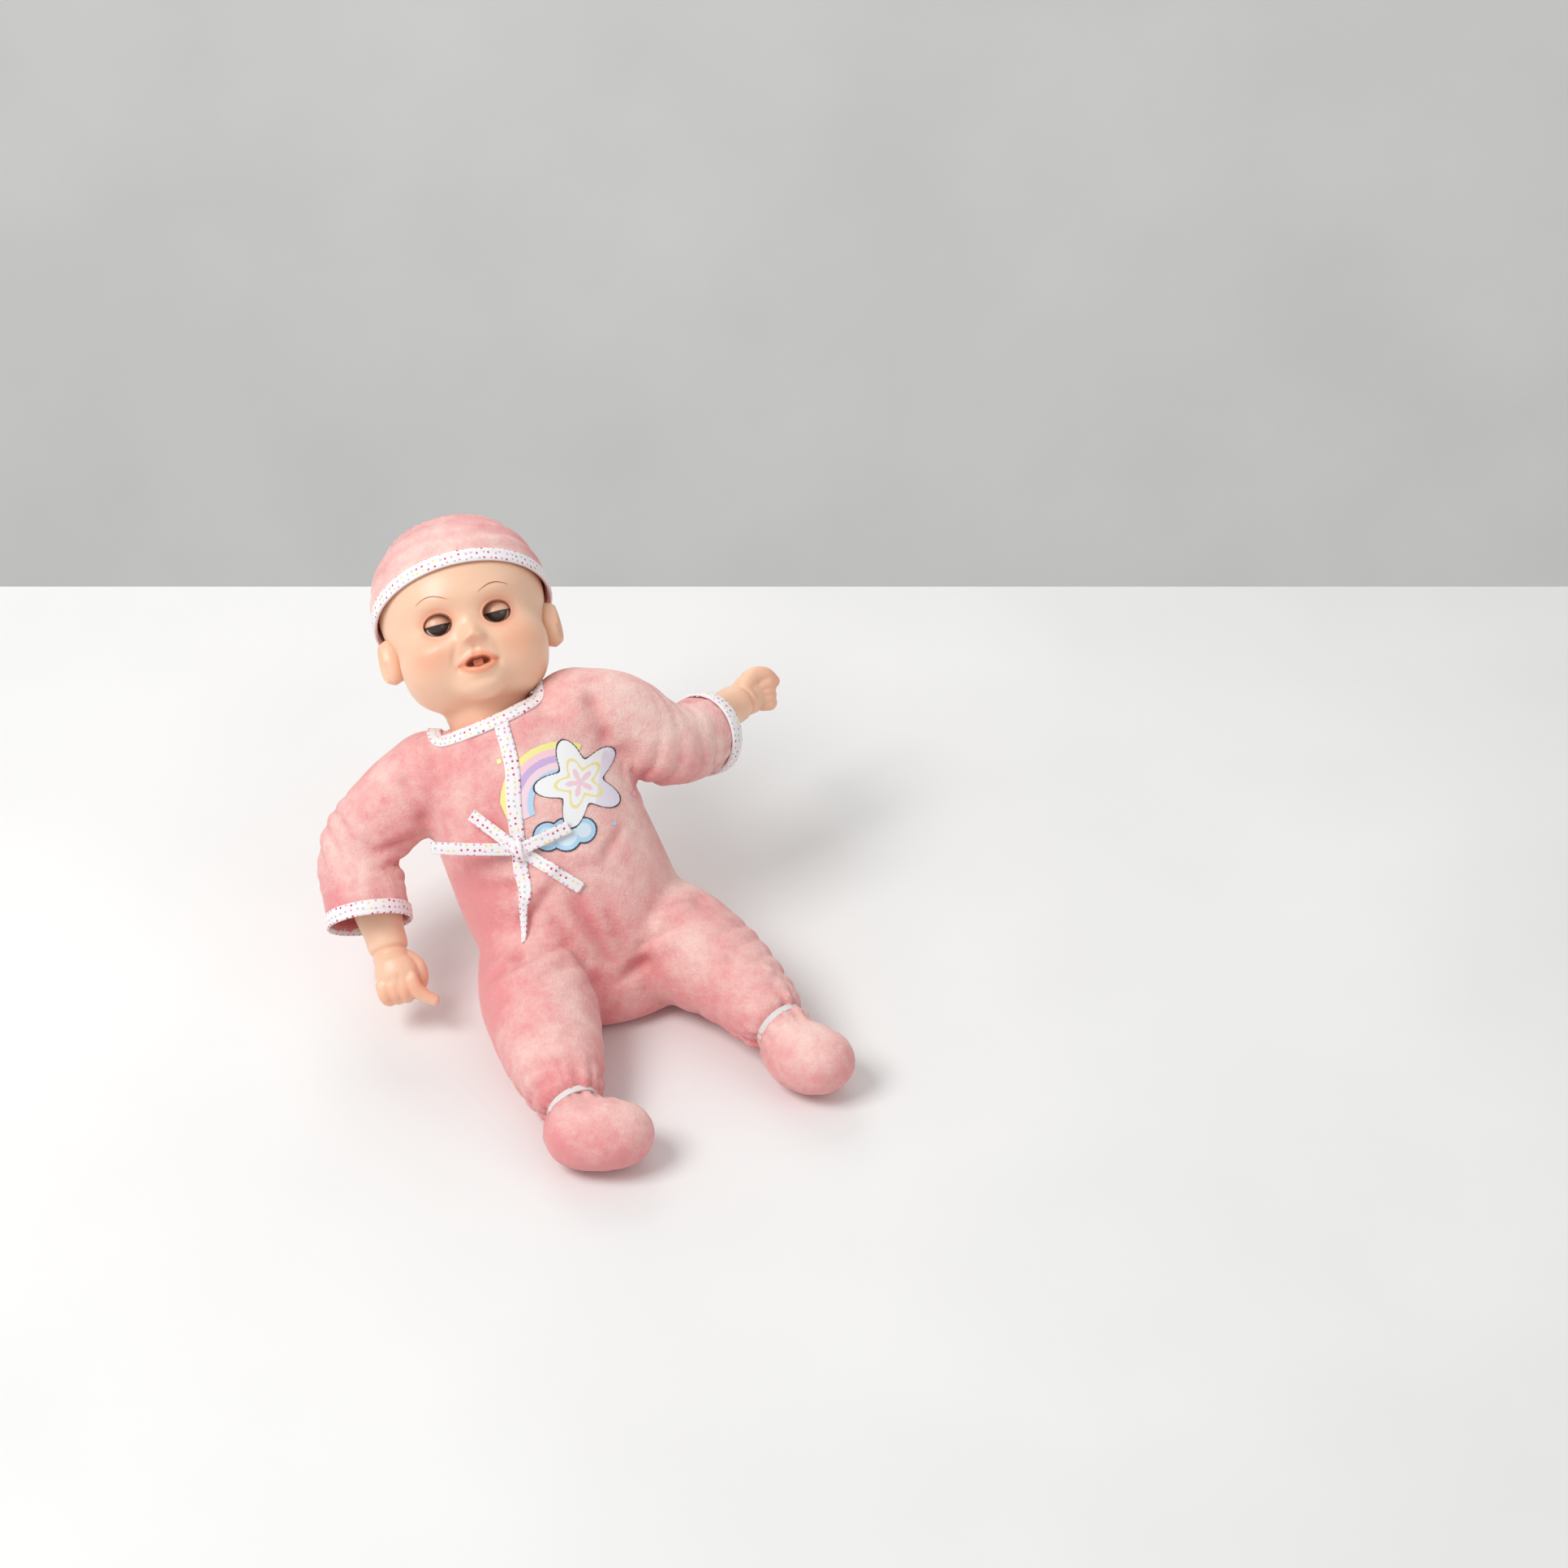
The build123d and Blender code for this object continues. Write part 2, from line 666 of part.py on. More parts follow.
iris_gap = 0.2
socket_gap = 0.5
for name, side in (("right", -1), ("left", 1)):
    eye_centre = spot(head, side * eye_spread, -eye_setback, eye_height)

    shoulder = (eyeball_radius**2 - eye_pin_radius**2) ** 0.5
    with BuildPart() as eyeball:
        with BuildSketch(spin_plane(eye_centre, Plane(head).x_dir, Plane(head).z_dir)):
            with BuildLine():
                Polyline((eye_pin_radius, -shoulder), (eye_pin_radius, -pin_reach), (0, -pin_reach))
                Line((0, -pin_reach), (0, pin_reach))
                Polyline((0, pin_reach), (eye_pin_radius, pin_reach), (eye_pin_radius, shoulder))
                ThreePointArc((eye_pin_radius, shoulder), (eyeball_radius, 0), (eye_pin_radius, -shoulder))
            make_face()
        revolve(axis=Axis(eye_centre, Plane(head).x_dir))
    finish(eyeball.part, f"{name}_eyeball")

    with BuildPart() as iris:
        add(eye_sphere(side, eyeball_radius + iris_thickness))
        add(eye_sphere(side, eyeball_radius), mode=Mode.SUBTRACT)
        round_iris = tube_forward(head, side * eye_spread, eye_height, before_face, -eye_setback, iris_radius)
        add(round_iris, mode=Mode.INTERSECT)
        add(eye_half(side, -eye_box / 2 - iris_gap), mode=Mode.INTERSECT)
    finish(iris.part, f"{name}_iris")

    with BuildPart() as eyelid:
        add(eye_sphere(side, eyeball_radius + eyelid_wall))
        add(eye_sphere(side, eyeball_radius), mode=Mode.SUBTRACT)
        add(eye_half(side, eye_box / 2), mode=Mode.INTERSECT)
        add(eye_pin(side, eye_pin_radius, pin_reach), mode=Mode.SUBTRACT)
    finish(eyelid.part, f"{name}_eyelid")

    down = Vector(0, 0, -1)
    lateral = Plane(head).x_dir
    swing = (down - lateral * down.dot(lateral)).normalized()
    with BuildPart(Plane(origin=eye_centre, z_dir=swing)) as eye_weight:
        with Locations((0, 0, weight_drop)):
            Sphere(weight_radius)
        Cylinder(weight_arm_radius, weight_drop, align=(Align.CENTER, Align.CENTER, Align.MIN))
        Sphere(eyeball_radius, mode=Mode.SUBTRACT)
    finish(eye_weight.part, f"{name}_eye_weight")

    lug_x = (socket_inner + pin_reach + lug_end_gap) / 2
    lug_width = pin_reach + lug_end_gap - socket_inner
    with BuildPart() as eye_socket:
        add(eye_sphere(side, socket_outer))
        add(eye_sphere(side, socket_inner), mode=Mode.SUBTRACT)
        add(eye_half(side, eye_box / 2 - socket_gap), mode=Mode.INTERSECT)
        for way in (-1, 1):
            lug = (side * eye_spread + way * lug_x, -eye_setback, eye_height)
            add(block(head, lug, (lug_width, lug_size, lug_size)))
        add(eye_sphere(side, socket_inner), mode=Mode.SUBTRACT)
        add(head_inside, mode=Mode.INTERSECT)
        add(eye_pin(side, eye_pin_radius + pin_clearance, pin_reach + spare), mode=Mode.SUBTRACT)
    finish(eye_socket.part, f"{name}_eye_socket")

# Mouth: a nub behind the lips presses a switch
mouth_floor = -36.0
switch_back = -22.0
housing_rim = 4.0
stop_gap = 0.5
nub_front = -40.5
nub_back = nub_front + mouth_button_length
with BuildPart() as mouth_switch:
    housing_depth = switch_back - mouth_front
    centre = (0, mouth_front + housing_depth / 2, mouth_height)
    add(block(head, centre, (mouth_width + housing_rim, housing_depth, mouth_opening + housing_rim)))
    add(head_inside, mode=Mode.INTERSECT)
    recess = oval_forward(head, 0, mouth_height, before_face, mouth_floor, mouth_width, mouth_opening)
    add(recess, mode=Mode.SUBTRACT)
    bore_end = nub_back + mouth_travel + stop_gap
    bore_radius = mouth_button_radius + pin_clearance
    add(tube_forward(head, 0, mouth_height, mouth_floor - spare, bore_end, bore_radius), mode=Mode.SUBTRACT)
finish(mouth_switch.part, "mouth_switch")
finish(tube_forward(head, 0, mouth_height, nub_front, nub_back, mouth_button_radius), "mouth_button")

wire_points = [(0, switch_back, mouth_height), (0, -11, 27.5), (0, -3, 20), (0, 0, 10), (0, 0.4, 1)]
wire_spots = [spot(head, *point) for point in wire_points]


easy_bend = 0.45


def cord_radii(points):
    """The largest easy bend at each inner point of a cord's route."""
    radii = []
    for before, here, after in zip(points, points[1:], points[2:]):
        first = here - before
        second = after - here
        half_turn = radians(first.get_angle(second) / 2)
        radii.append(easy_bend * min(first.length, second.length) / tan(half_turn))
    return radii


bends = cord_radii(wire_spots)
print("mouth wire bends", [round(bend, 1) for bend in bends])
with BuildLine() as wire_route:
    FilletPolyline(*wire_spots, radius=bends)
with BuildPart() as mouth_wire:
    with BuildSketch(Plane(origin=wire_route.wire() @ 0, z_dir=wire_route.wire() % 0)):
        Circle(wire_radius)
    sweep(path=wire_route.wire())
finish(mouth_wire.part, "mouth_wire")
print("mouth wire length", round(wire_route.wire().length, 1))

# Cap: a dome and a short skirt about an axis tipped back through the cranium
cap_plane = facing(head, *cranium_centre, (-cap_tilt, 0, 0))


def cap_form(radius, below):
    with BuildPart(cap_plane) as form:
        Sphere(radius)
        Cylinder(radius, below, align=(Align.CENTER, Align.CENTER, Align.MAX))
    with BuildPart() as cut:
        add(form.part)
        add(beyond(cap_plane.origin - cap_plane.z_dir * below, -cap_plane.z_dir), mode=Mode.SUBTRACT)
    return cut.part


cap_inner = cranium_radius + cap_ease
with BuildPart() as cap:
    add(cap_form(cap_inner + cloth, cap_skirt))
    add(cap_form(cap_inner, cap_skirt + spare), mode=Mode.SUBTRACT)
finish(cap.part, "cap")

rim_radius = cap_inner + cloth + cloth_ease
rim_plane = cap_plane.offset(binding_width / 2 - cap_skirt)
rim = band(rim_plane, rim_radius, rim_radius + binding_proud, binding_width)
finish(rim, "cap_binding")

# Sound module, in a frame on its own middle: +Y is the doll's back
module = pelvis * Location((0, 0, module_height))
seam = -case_depth / 2 + 6
front = -case_depth / 2
back = case_depth / 2
speaker_place = (speaker_side, speaker_rise)
button_place = (button_side, 8.0)
post_x = case_width / 2 - 5.2
post_z = case_height / 2 - 5.2
post_radius = 3.0
post_places = [(x, z) for x in (-post_x, post_x) for z in (-post_z, post_z)]
board_back = board_setback + board_thickness
door_low = -18.0
door_centre_z = door_low + door_height / 2
door_ease = 0.2
inner_width = case_width - 2 * case_wall
inner_height = case_height - 2 * case_wall
post_bore = 12.0
screw_bite = 8.0
screw_ease = 0.2
boss = (10, 2, 6)
speaker_hole = 1.2
knob_z = -22.1
knob_height = 4.0
wire_hole_depth = 10.0


def module_block(x, y_start, y_end, z, width, height):
    return block(module, (x, (y_start + y_end) / 2, z), (width, y_end - y_start, height))


def module_rod(x, z, start, end, radius):
    return tube_forward(module, x, z, start, end, radius)


with BuildPart() as module_cover:
    add(module_block(0, front, seam, 0, case_width, case_height))
    add(module_block(0, front + cover_wall, seam, 0, inner_width, inner_height), mode=Mode.SUBTRACT)
    for x, z in post_places:
        add(module_rod(x, z, front + spare, back - case_wall, post_radius))
        add(module_rod(x, z, back - case_wall - post_bore, back, screw_radius), mode=Mode.SUBTRACT)
    add(module_rod(*button_place, front - spare, seam, button_radius + button_clearance), mode=Mode.SUBTRACT)
    for ring_radius, count in ((0, 1), (4.5, 6), (9, 12)):
        for hole in PolarLocations(ring_radius, count):
            hole_x = speaker_side + hole.position.X
            hole_z = speaker_rise + hole.position.Y
            grille = module_rod(hole_x, hole_z, front - spare, front + cover_wall + spare, speaker_hole)
            add(grille, mode=Mode.SUBTRACT)
finish(module_cover.part, "module_cover")

screw_place = (0, -15.5)
with BuildPart() as module_case:
    add(module_block(0, seam, back, 0, case_width, case_height))
    add(module_block(0, seam, back - case_wall, 0, inner_width, inner_height), mode=Mode.SUBTRACT)
    add(module_block(0, 0, back + spare, door_centre_z, door_width, door_height), mode=Mode.SUBTRACT)
    add(module_block(0, back - case_wall - boss[1], back - case_wall, door_low + boss[1], boss[0], boss[2]))
    add(module_rod(*screw_place, 0, back, screw_radius), mode=Mode.SUBTRACT)
    for x, z in post_places:
        screw_hole = module_rod(x, z, back - case_wall - spare, back + spare, screw_radius + screw_ease)
        add(screw_hole, mode=Mode.SUBTRACT)
    slot_width = knob_width + knob_travel + 2 * button_clearance
    slot_height = knob_height + 2 * button_clearance
    add(module_block(knob_travel / 2, 0, back + spare, knob_z, slot_width, slot_height), mode=Mode.SUBTRACT)
    with Locations(facing(module, 0, 0, case_height / 2)):
        Cylinder(wire_radius + turning_ease, wire_hole_depth, mode=Mode.SUBTRACT)
finish(module_case.part, "module_case")

with BuildPart() as battery_door:
    door_size = (door_width - 2 * door_ease, door_height - 2 * door_ease)
    add(module_block(0, back - case_wall, back, door_centre_z, *door_size))
    add(module_rod(*screw_place, 0, back + spare, screw_radius + screw_ease), mode=Mode.SUBTRACT)
finish(battery_door.part, "battery_door")

screw_head_radius = 2.6
screw_head_height = 1.4
with BuildPart() as module_screws:
    for x, z in post_places:
        add(module_rod(x, z, back - case_wall - screw_bite, back, screw_radius))
        add(module_rod(x, z, back, back + screw_head_height, screw_head_radius))
    add(module_rod(*screw_place, back - case_wall - boss[1], back, screw_radius))
    add(module_rod(*screw_place, back, back + screw_head_height, screw_head_radius))
finish(module_screws.part, "module_screws")

board_size = (56, 48)
chip_place = (12, -14)
chip_size = 9.0
chip_height = 1.2
speaker_front = front + cover_wall
speaker_rim = 2.0
magnet_radius = speaker_radius * 0.6
with BuildPart() as speaker:
    add(module_rod(*speaker_place, speaker_front, speaker_front + speaker_rim, speaker_radius))
    cone_radius = speaker_radius - speaker_rim
    cone = module_rod(*speaker_place, speaker_front, speaker_front + speaker_rim / 2, cone_radius)
    add(cone, mode=Mode.SUBTRACT)
    add(module_rod(*speaker_place, speaker_front + speaker_rim, speaker_front + speaker_depth, magnet_radius))
finish(speaker.part, "speaker")

with BuildPart() as circuit_board:
    add(module_block(0, board_setback, board_back, 0, *board_size))
    for x, z in post_places:
        post_hole = module_rod(x, z, board_setback - spare, board_back + spare, post_radius + turning_ease)
        add(post_hole, mode=Mode.SUBTRACT)
    chip_front = board_setback - chip_height
    add(module_block(chip_place[0], chip_front, board_setback, chip_place[1], chip_size, chip_size))
finish(circuit_board.part, "circuit_board")

batteries_y = back - case_wall - battery_radius
contact_size = 8.0
battery_rows = [4 + (i - 1) * battery_pitch for i in range(battery_count)]
with BuildPart() as batteries:
    for z in battery_rows:
        with Locations(facing(module, 0, batteries_y, z, (0, 90, 0))):
            Cylinder(battery_radius, battery_length)
finish(batteries.part, "batteries")

with BuildPart() as battery_contacts:
    for z in battery_rows:
        for way in (-1, 1):
            contact_x = way * (battery_length / 2 + contact_thickness / 2)
            depths = (batteries_y - contact_size / 2, batteries_y + contact_size / 2)
            add(module_block(contact_x, *depths, z, contact_thickness, contact_size))
finish(battery_contacts.part, "battery_contacts")

button_proud = 2.5
button_front = front - button_proud
flange_gap = 0.1
flange_thickness = 1.0
flange_rim = 1.2
flange = (front + cover_wall + flange_gap, front + cover_wall + flange_gap + flange_thickness)
with BuildPart() as belly_button:
    add(module_rod(*button_place, button_front, flange[1], button_radius))
    add(module_rod(*button_place, flange[0], flange[1], button_radius + flange_rim))
finish(belly_button.part, "belly_button")

dome_front = flange[1] + button_travel + turning_ease
dome_radius = 4.5
dome_wall = 1.0
with BuildPart() as button_dome:
    add(module_rod(*button_place, dome_front, board_setback, dome_radius))
    dome_hollow = module_rod(*button_place, dome_front + dome_wall, board_setback, dome_radius - dome_wall)
    add(dome_hollow, mode=Mode.SUBTRACT)
finish(button_dome.part, "button_dome")

knob_proud = 1.2
knob_plate = 1.2
plate_back = back - case_wall - turning_ease
with BuildPart() as power_switch:
    add(module_block(0, plate_back, back + knob_proud, knob_z, knob_width, knob_height))
    add(module_block(0, plate_back - knob_plate, plate_back, knob_z, knob_width + spare, knob_height + spare))
finish(power_switch.part, "power_switch")

switch_body_back = plate_back - knob_plate - turning_ease
switch_body_width = 14.0
switch_body_height = 6.0
switch_body_front = back - case_wall - switch_body_height
with BuildPart() as switch_body:
    body_size = (switch_body_width, switch_body_height)
    add(module_block(knob_travel / 2, switch_body_front, switch_body_back, knob_z, *body_size))
finish(switch_body.part, "switch_body")

wire_bottom = module_height + case_height / 2 - case_wall - spare
wire_length = torso_length - spare - wire_bottom
with BuildPart(facing(pelvis, 0, 0, wire_bottom)) as module_wire:
    Cylinder(wire_radius, wire_length, align=(Align.CENTER, Align.CENTER, Align.MIN))
finish(module_wire.part, "module_wire")
print("module wire length", round(wire_length, 1))
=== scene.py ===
import bpy
import bmesh
import json
import math
import numpy as np
from mathutils import Matrix, Vector
from mathutils.bvhtree import BVHTree


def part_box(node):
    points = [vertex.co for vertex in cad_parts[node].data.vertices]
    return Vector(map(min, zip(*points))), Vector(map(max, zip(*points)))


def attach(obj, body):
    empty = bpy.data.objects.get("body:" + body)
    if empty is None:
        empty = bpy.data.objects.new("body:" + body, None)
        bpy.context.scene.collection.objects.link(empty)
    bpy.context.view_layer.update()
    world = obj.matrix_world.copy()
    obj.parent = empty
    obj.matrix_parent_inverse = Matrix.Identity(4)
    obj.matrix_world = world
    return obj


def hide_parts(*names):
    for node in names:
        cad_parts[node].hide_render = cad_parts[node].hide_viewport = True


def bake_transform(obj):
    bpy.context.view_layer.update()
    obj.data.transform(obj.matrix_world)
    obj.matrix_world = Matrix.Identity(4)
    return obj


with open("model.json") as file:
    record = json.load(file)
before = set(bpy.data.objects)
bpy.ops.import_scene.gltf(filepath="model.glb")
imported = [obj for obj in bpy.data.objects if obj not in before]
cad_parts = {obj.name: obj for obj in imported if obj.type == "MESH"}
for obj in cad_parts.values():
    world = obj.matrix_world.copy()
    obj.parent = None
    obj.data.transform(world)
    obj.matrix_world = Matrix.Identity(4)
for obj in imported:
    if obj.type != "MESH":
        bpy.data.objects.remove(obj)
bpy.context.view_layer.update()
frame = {"record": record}
mm = 0.001
print("frame loaded")


# places read from the frame

joints = {j["name"]: j for j in frame["record"]["behaviour"]["joints"]}


def jointPoint(name):
    return Vector(joints[name]["pos_m"])


def jointAxis(name):
    return Vector(joints[name]["axis"]).normalized()


def boxMiddle(node):
    low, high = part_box(node)
    return (Vector(low) + Vector(high)) / 2


class Pose:
    def __init__(self, origin, x, y, z):
        self.origin, self.x, self.y, self.z = origin, x, y, z

    def at(self, x, y, z):
        return self.origin + (self.x * x + self.y * y + self.z * z) * mm

    def local(self, points):
        axes = np.array([self.x, self.y, self.z])
        return (points - np.array(self.origin)) @ axes.T / mm

    def world(self, points):
        axes = np.array([self.x, self.y, self.z])
        return np.array(self.origin) + (points * mm) @ axes


headUp, headLeft = jointAxis("head_turn"), jointAxis("neck_nod")
head = Pose(jointPoint("head_turn"), headLeft, headUp.cross(headLeft), headUp)
torsoLeft, torsoBack = jointAxis("power_slide"), jointAxis("right_shoulder")
torsoUp = torsoLeft.cross(torsoBack)
torsoLength = 152
torso = Pose(head.origin - torsoUp * torsoLength * mm, torsoLeft, torsoBack, torsoUp)


# mesh helpers

def newMesh(name, points, faces):
    mesh = bpy.data.meshes.new(name)
    mesh.from_pydata([tuple(p) for p in points], [], [tuple(f) for f in faces])
    mesh.update()
    piece = bpy.data.objects.new(name, mesh)
    bpy.context.collection.objects.link(piece)
    return piece


def only(piece):
    bpy.ops.object.select_all(action="DESELECT")
    piece.select_set(True)
    bpy.context.view_layer.objects.active = piece


def applyModifier(piece, kind, **settings):
    only(piece)
    modifier = piece.modifiers.new(kind.lower(), kind)
    for key, value in settings.items():
        setattr(modifier, key, value)
    bpy.ops.object.modifier_apply(modifier=modifier.name)


def tidyNormals(piece):
    only(piece)
    bpy.ops.object.mode_set(mode="EDIT")
    bpy.ops.mesh.select_all(action="SELECT")
    bpy.ops.mesh.remove_doubles(threshold=0.00001)
    bpy.ops.mesh.normals_make_consistent(inside=False)
    bpy.ops.object.mode_set(mode="OBJECT")


def smooth(piece):
    only(piece)
    bpy.ops.object.shade_smooth()


def join(name, parts):
    bpy.ops.object.select_all(action="DESELECT")
    for part in parts:
        part.select_set(True)
    bpy.context.view_layer.objects.active = parts[0]
    bpy.ops.object.join()
    parts[0].name = name
    return parts[0]


def readPoints(piece):
    values = np.empty(len(piece.data.vertices) * 3)
    piece.data.vertices.foreach_get("co", values)
    return values.reshape(-1, 3)


def readNormals(piece):
    values = np.empty(len(piece.data.vertices) * 3)
    piece.data.vertices.foreach_get("normal", values)
    return values.reshape(-1, 3)


def writePoints(piece, points):
    piece.data.vertices.foreach_set("co", np.ascontiguousarray(points).ravel())
    piece.data.update()


def treeOf(piece):
    graph = bpy.context.evaluated_depsgraph_get()
    return BVHTree.FromObject(piece, graph)


def curveThrough(points, count):
    p = np.array(points, float)
    p = np.vstack([2 * p[0] - p[1], p, 2 * p[-1] - p[-2]])
    spans = len(p) - 3
    out = []
    for u in np.linspace(0, spans, count):
        i = min(int(u), spans - 1)
        t = u - i
        a, b, c, d = p[i], p[i + 1], p[i + 2], p[i + 3]
        out.append(0.5 * (
            2 * b + (c - a) * t + (2 * a - 5 * b + 4 * c - d) * t**2 + (3 * b - a - 3 * c + d) * t**3
        ))
    return np.array(out)


def loft(name, rings):
    count, around = len(rings), len(rings[0])
    points = np.vstack([np.vstack(rings), rings[0].mean(axis=0), rings[-1].mean(axis=0)])
    faces = []
    for i in range(count - 1):
        for k in range(around):
            n = (k + 1) % around
            faces.append((i * around + k, i * around + n, (i + 1) * around + n, (i + 1) * around + k))
    for k in range(around):
        n = (k + 1) % around
        faces.append((count * around, n, k))
        faces.append((count * around + 1, (count - 1) * around + k, (count - 1) * around + n))
    piece = newMesh(name, points, faces)
    tidyNormals(piece)
    return piece


def tubeRings(path, radii, side, around=40, flat=1.0):
    path, radii = np.array(path), np.array(radii)
    tangents = np.gradient(path, axis=0)
    tangents /= np.linalg.norm(tangents, axis=1)[:, None]
    first = np.array(side, float)
    angles = np.linspace(0, 2 * math.pi, around, endpoint=False)
    rings = []

    def ring(centre, tangent, radius):
        nonlocal first
        first = first - tangent * first.dot(tangent)
        first /= np.linalg.norm(first)
        second = np.cross(tangent, first)
        return centre + radius * (np.outer(np.cos(angles), first) + flat * np.outer(np.sin(angles), second))

    for turn in np.linspace(0.15, 1.4, 6):
        rings.append(
            ring(path[0] - tangents[0] * radii[0] * math.cos(turn), tangents[0], radii[0] * math.sin(turn))
        )
    for centre, tangent, radius in zip(path, tangents, radii):
        rings.append(ring(centre, tangent, radius))
    for turn in np.linspace(1.4, 0.15, 6):
        rings.append(ring(path[-1] + tangents[-1] * radii[-1] * math.cos(turn), tangents[-1], radii[-1] * math.sin(turn)))
    return rings


def limb(name, points, radii, side=(1, 0, 0), count=40, flat=1.0, around=40):
    path = curveThrough([tuple(p) for p in points], count)
    places = np.linspace(0, 1, len(radii))
    widths = curveThrough([(s, r * mm, 0) for s, r in zip(places, radii)], count)[:, 1]
    return loft(name, tubeRings(path, widths, side, around, flat))


def ball(name, centre, sizes, pose=None, levels=3):
    bpy.ops.mesh.primitive_ico_sphere_add(subdivisions=levels, radius=1, location=(0, 0, 0))
    piece = bpy.context.object
    piece.name = name
    points = readPoints(piece) * np.array(sizes) * mm
    if pose:
        points = points @ np.array([pose.x, pose.y, pose.z])
    writePoints(piece, points + np.array(centre))
    return piece


# material helpers

class Wire:
    def __init__(self, shader, socket):
        self.shader, self.socket = shader, socket

    def maths(self, operation, other=None, clamp=False):
        values = {0: self}
        if other is not None:
            values[1] = other
        return self.shader.node("ShaderNodeMath", {"operation": operation, "use_clamp": clamp}, values)[0]

    def __add__(self, other):
        return self.maths("ADD", other)

    def __sub__(self, other):
        return self.maths("SUBTRACT", other)

    def __mul__(self, other):
        return self.maths("MULTIPLY", other)

    def __truediv__(self, other):
        return self.maths("DIVIDE", other)

    def above(self, other):
        return self.maths("GREATER_THAN", other)

    def below(self, other):
        return self.maths("LESS_THAN", other)

    def held(self):
        return self.maths("ADD", 0.0, clamp=True)


class Shader:
    def __init__(self, name):
        self.material = bpy.data.materials.new(name)
        self.material.use_nodes = True
        self.tree = self.material.node_tree
        self.surface = self.tree.nodes["Principled BSDF"]

    def node(self, kind, settings=None, values=None):
        made = self.tree.nodes.new(kind)
        for key, value in (settings or {}).items():
            setattr(made, key, value)
        for key, value in (values or {}).items():
            self.put(made.inputs[key], value)
        return [Wire(self, socket) for socket in made.outputs]

    def put(self, socket, value):
        if isinstance(value, Wire):
            self.tree.links.new(value.socket, socket)
        else:
            socket.default_value = value

    def set(self, **values):
        for key, value in values.items():
            self.put(self.surface.inputs[key.replace("_", " ")], value)

    def place(self):
        return self.node("ShaderNodeTexCoord")[3]

    def attribute(self, name):
        return self.node("ShaderNodeAttribute", {"attribute_name": name})

    def noise(self, scale, detail=2.0, roughness=0.5, where=None):
        values = {"Scale": scale, "Detail": detail, "Roughness": roughness, "Vector": where or self.place()}
        return self.node("ShaderNodeTexNoise", None, values)[0]

    def mix(self, share, first, second, way="MIX"):
        settings = {"data_type": "RGBA", "blend_type": way}
        return self.node("ShaderNodeMix", settings, {0: share, 6: first, 7: second})[2]

    def range(self, value, low, high, newLow=0.0, newHigh=1.0):
        values = {0: value, 1: low, 2: high, 3: newLow, 4: newHigh}
        return self.node("ShaderNodeMapRange", None, values)[0]

    def bump(self, height, strength, distance):
        self.set(Normal=self.node("ShaderNodeBump", None, {"Height": height, "Strength": strength, "Distance": distance})[0])


def colour(red, green, blue):
    return (red, green, blue, 1.0)


def velour(name):
    look = dict(pale=colour(1.0, 0.70, 0.63), pink=colour(0.88, 0.31, 0.32), creaseShadePink=colour(0.70, 0.16, 0.17))
    s = Shader(name)
    # the per-vertex attribute read here holds crushed-pile patches plus painted highlight on upward faces; both lift
    # the colour toward pale
    napAndPaintedTopLight = s.attribute("napAndPaintedTopLight")[2]
    patches = s.noise(34, 3, 0.55)
    brushed = s.noise(150, 4, 0.65)
    fine = s.noise(620, 3, 0.7)
    share = s.range(napAndPaintedTopLight + (patches - 0.5) * 1.3 + (brushed - 0.5) * 0.75 + (fine - 0.5) * 0.5, 0.2, 0.95)
    base = s.mix(share, look["pink"], look["pale"])
    # painted shade: creases and grooves are darkened toward the deeper pink
    base = s.mix(s.range(s.attribute("fold")[2], 0.0, 1.0), base, look["creaseShadePink"])
    s.set(Base_Color=base, Roughness=0.85, Sheen_Weight=0.6, Sheen_Roughness=0.45, Sheen_Tint=colour(1, 0.8, 0.76))
    pile = s.noise(1700, 2, 0.6)
    s.bump(pile * 0.6 + fine * 1.2 + brushed * 1.6, 0.6, 0.0011)
    return s.material


def vinyl(name, tint=colour(0.94, 0.60, 0.42)):
    s = Shader(name)
    blushAndPaintedShade = s.attribute("blushAndPaintedShade")[2]
    soft = s.noise(60, 3)
    base = s.mix(s.range(soft, 0.3, 0.7, 0.0, 0.25), tint, colour(0.97, 0.66, 0.48))
    # blush colour; the same attribute also carries painted shade in the ear bowl, around the eye openings and in the
    # wrist crease
    base = s.mix(blushAndPaintedShade.held(), base, colour(0.93, 0.27, 0.14))
    # painted shade: near-black inside the mouth opening and a dark rim at the eye openings
    base = s.mix(s.attribute("paintedOpeningShade")[2].held(), base, colour(0.22, 0.05, 0.025))
    s.set(Base_Color=base, Roughness=s.range(soft, 0.3, 0.7, 0.34, 0.42), Subsurface_Weight=0.35, Subsurface_Scale=0.006)
    s.set(Subsurface_Radius=(1.0, 0.45, 0.25), Coat_Weight=0.06, Coat_Roughness=0.35)
    s.bump(s.noise(900, 2), 0.06, 0.0003)
    return s.material


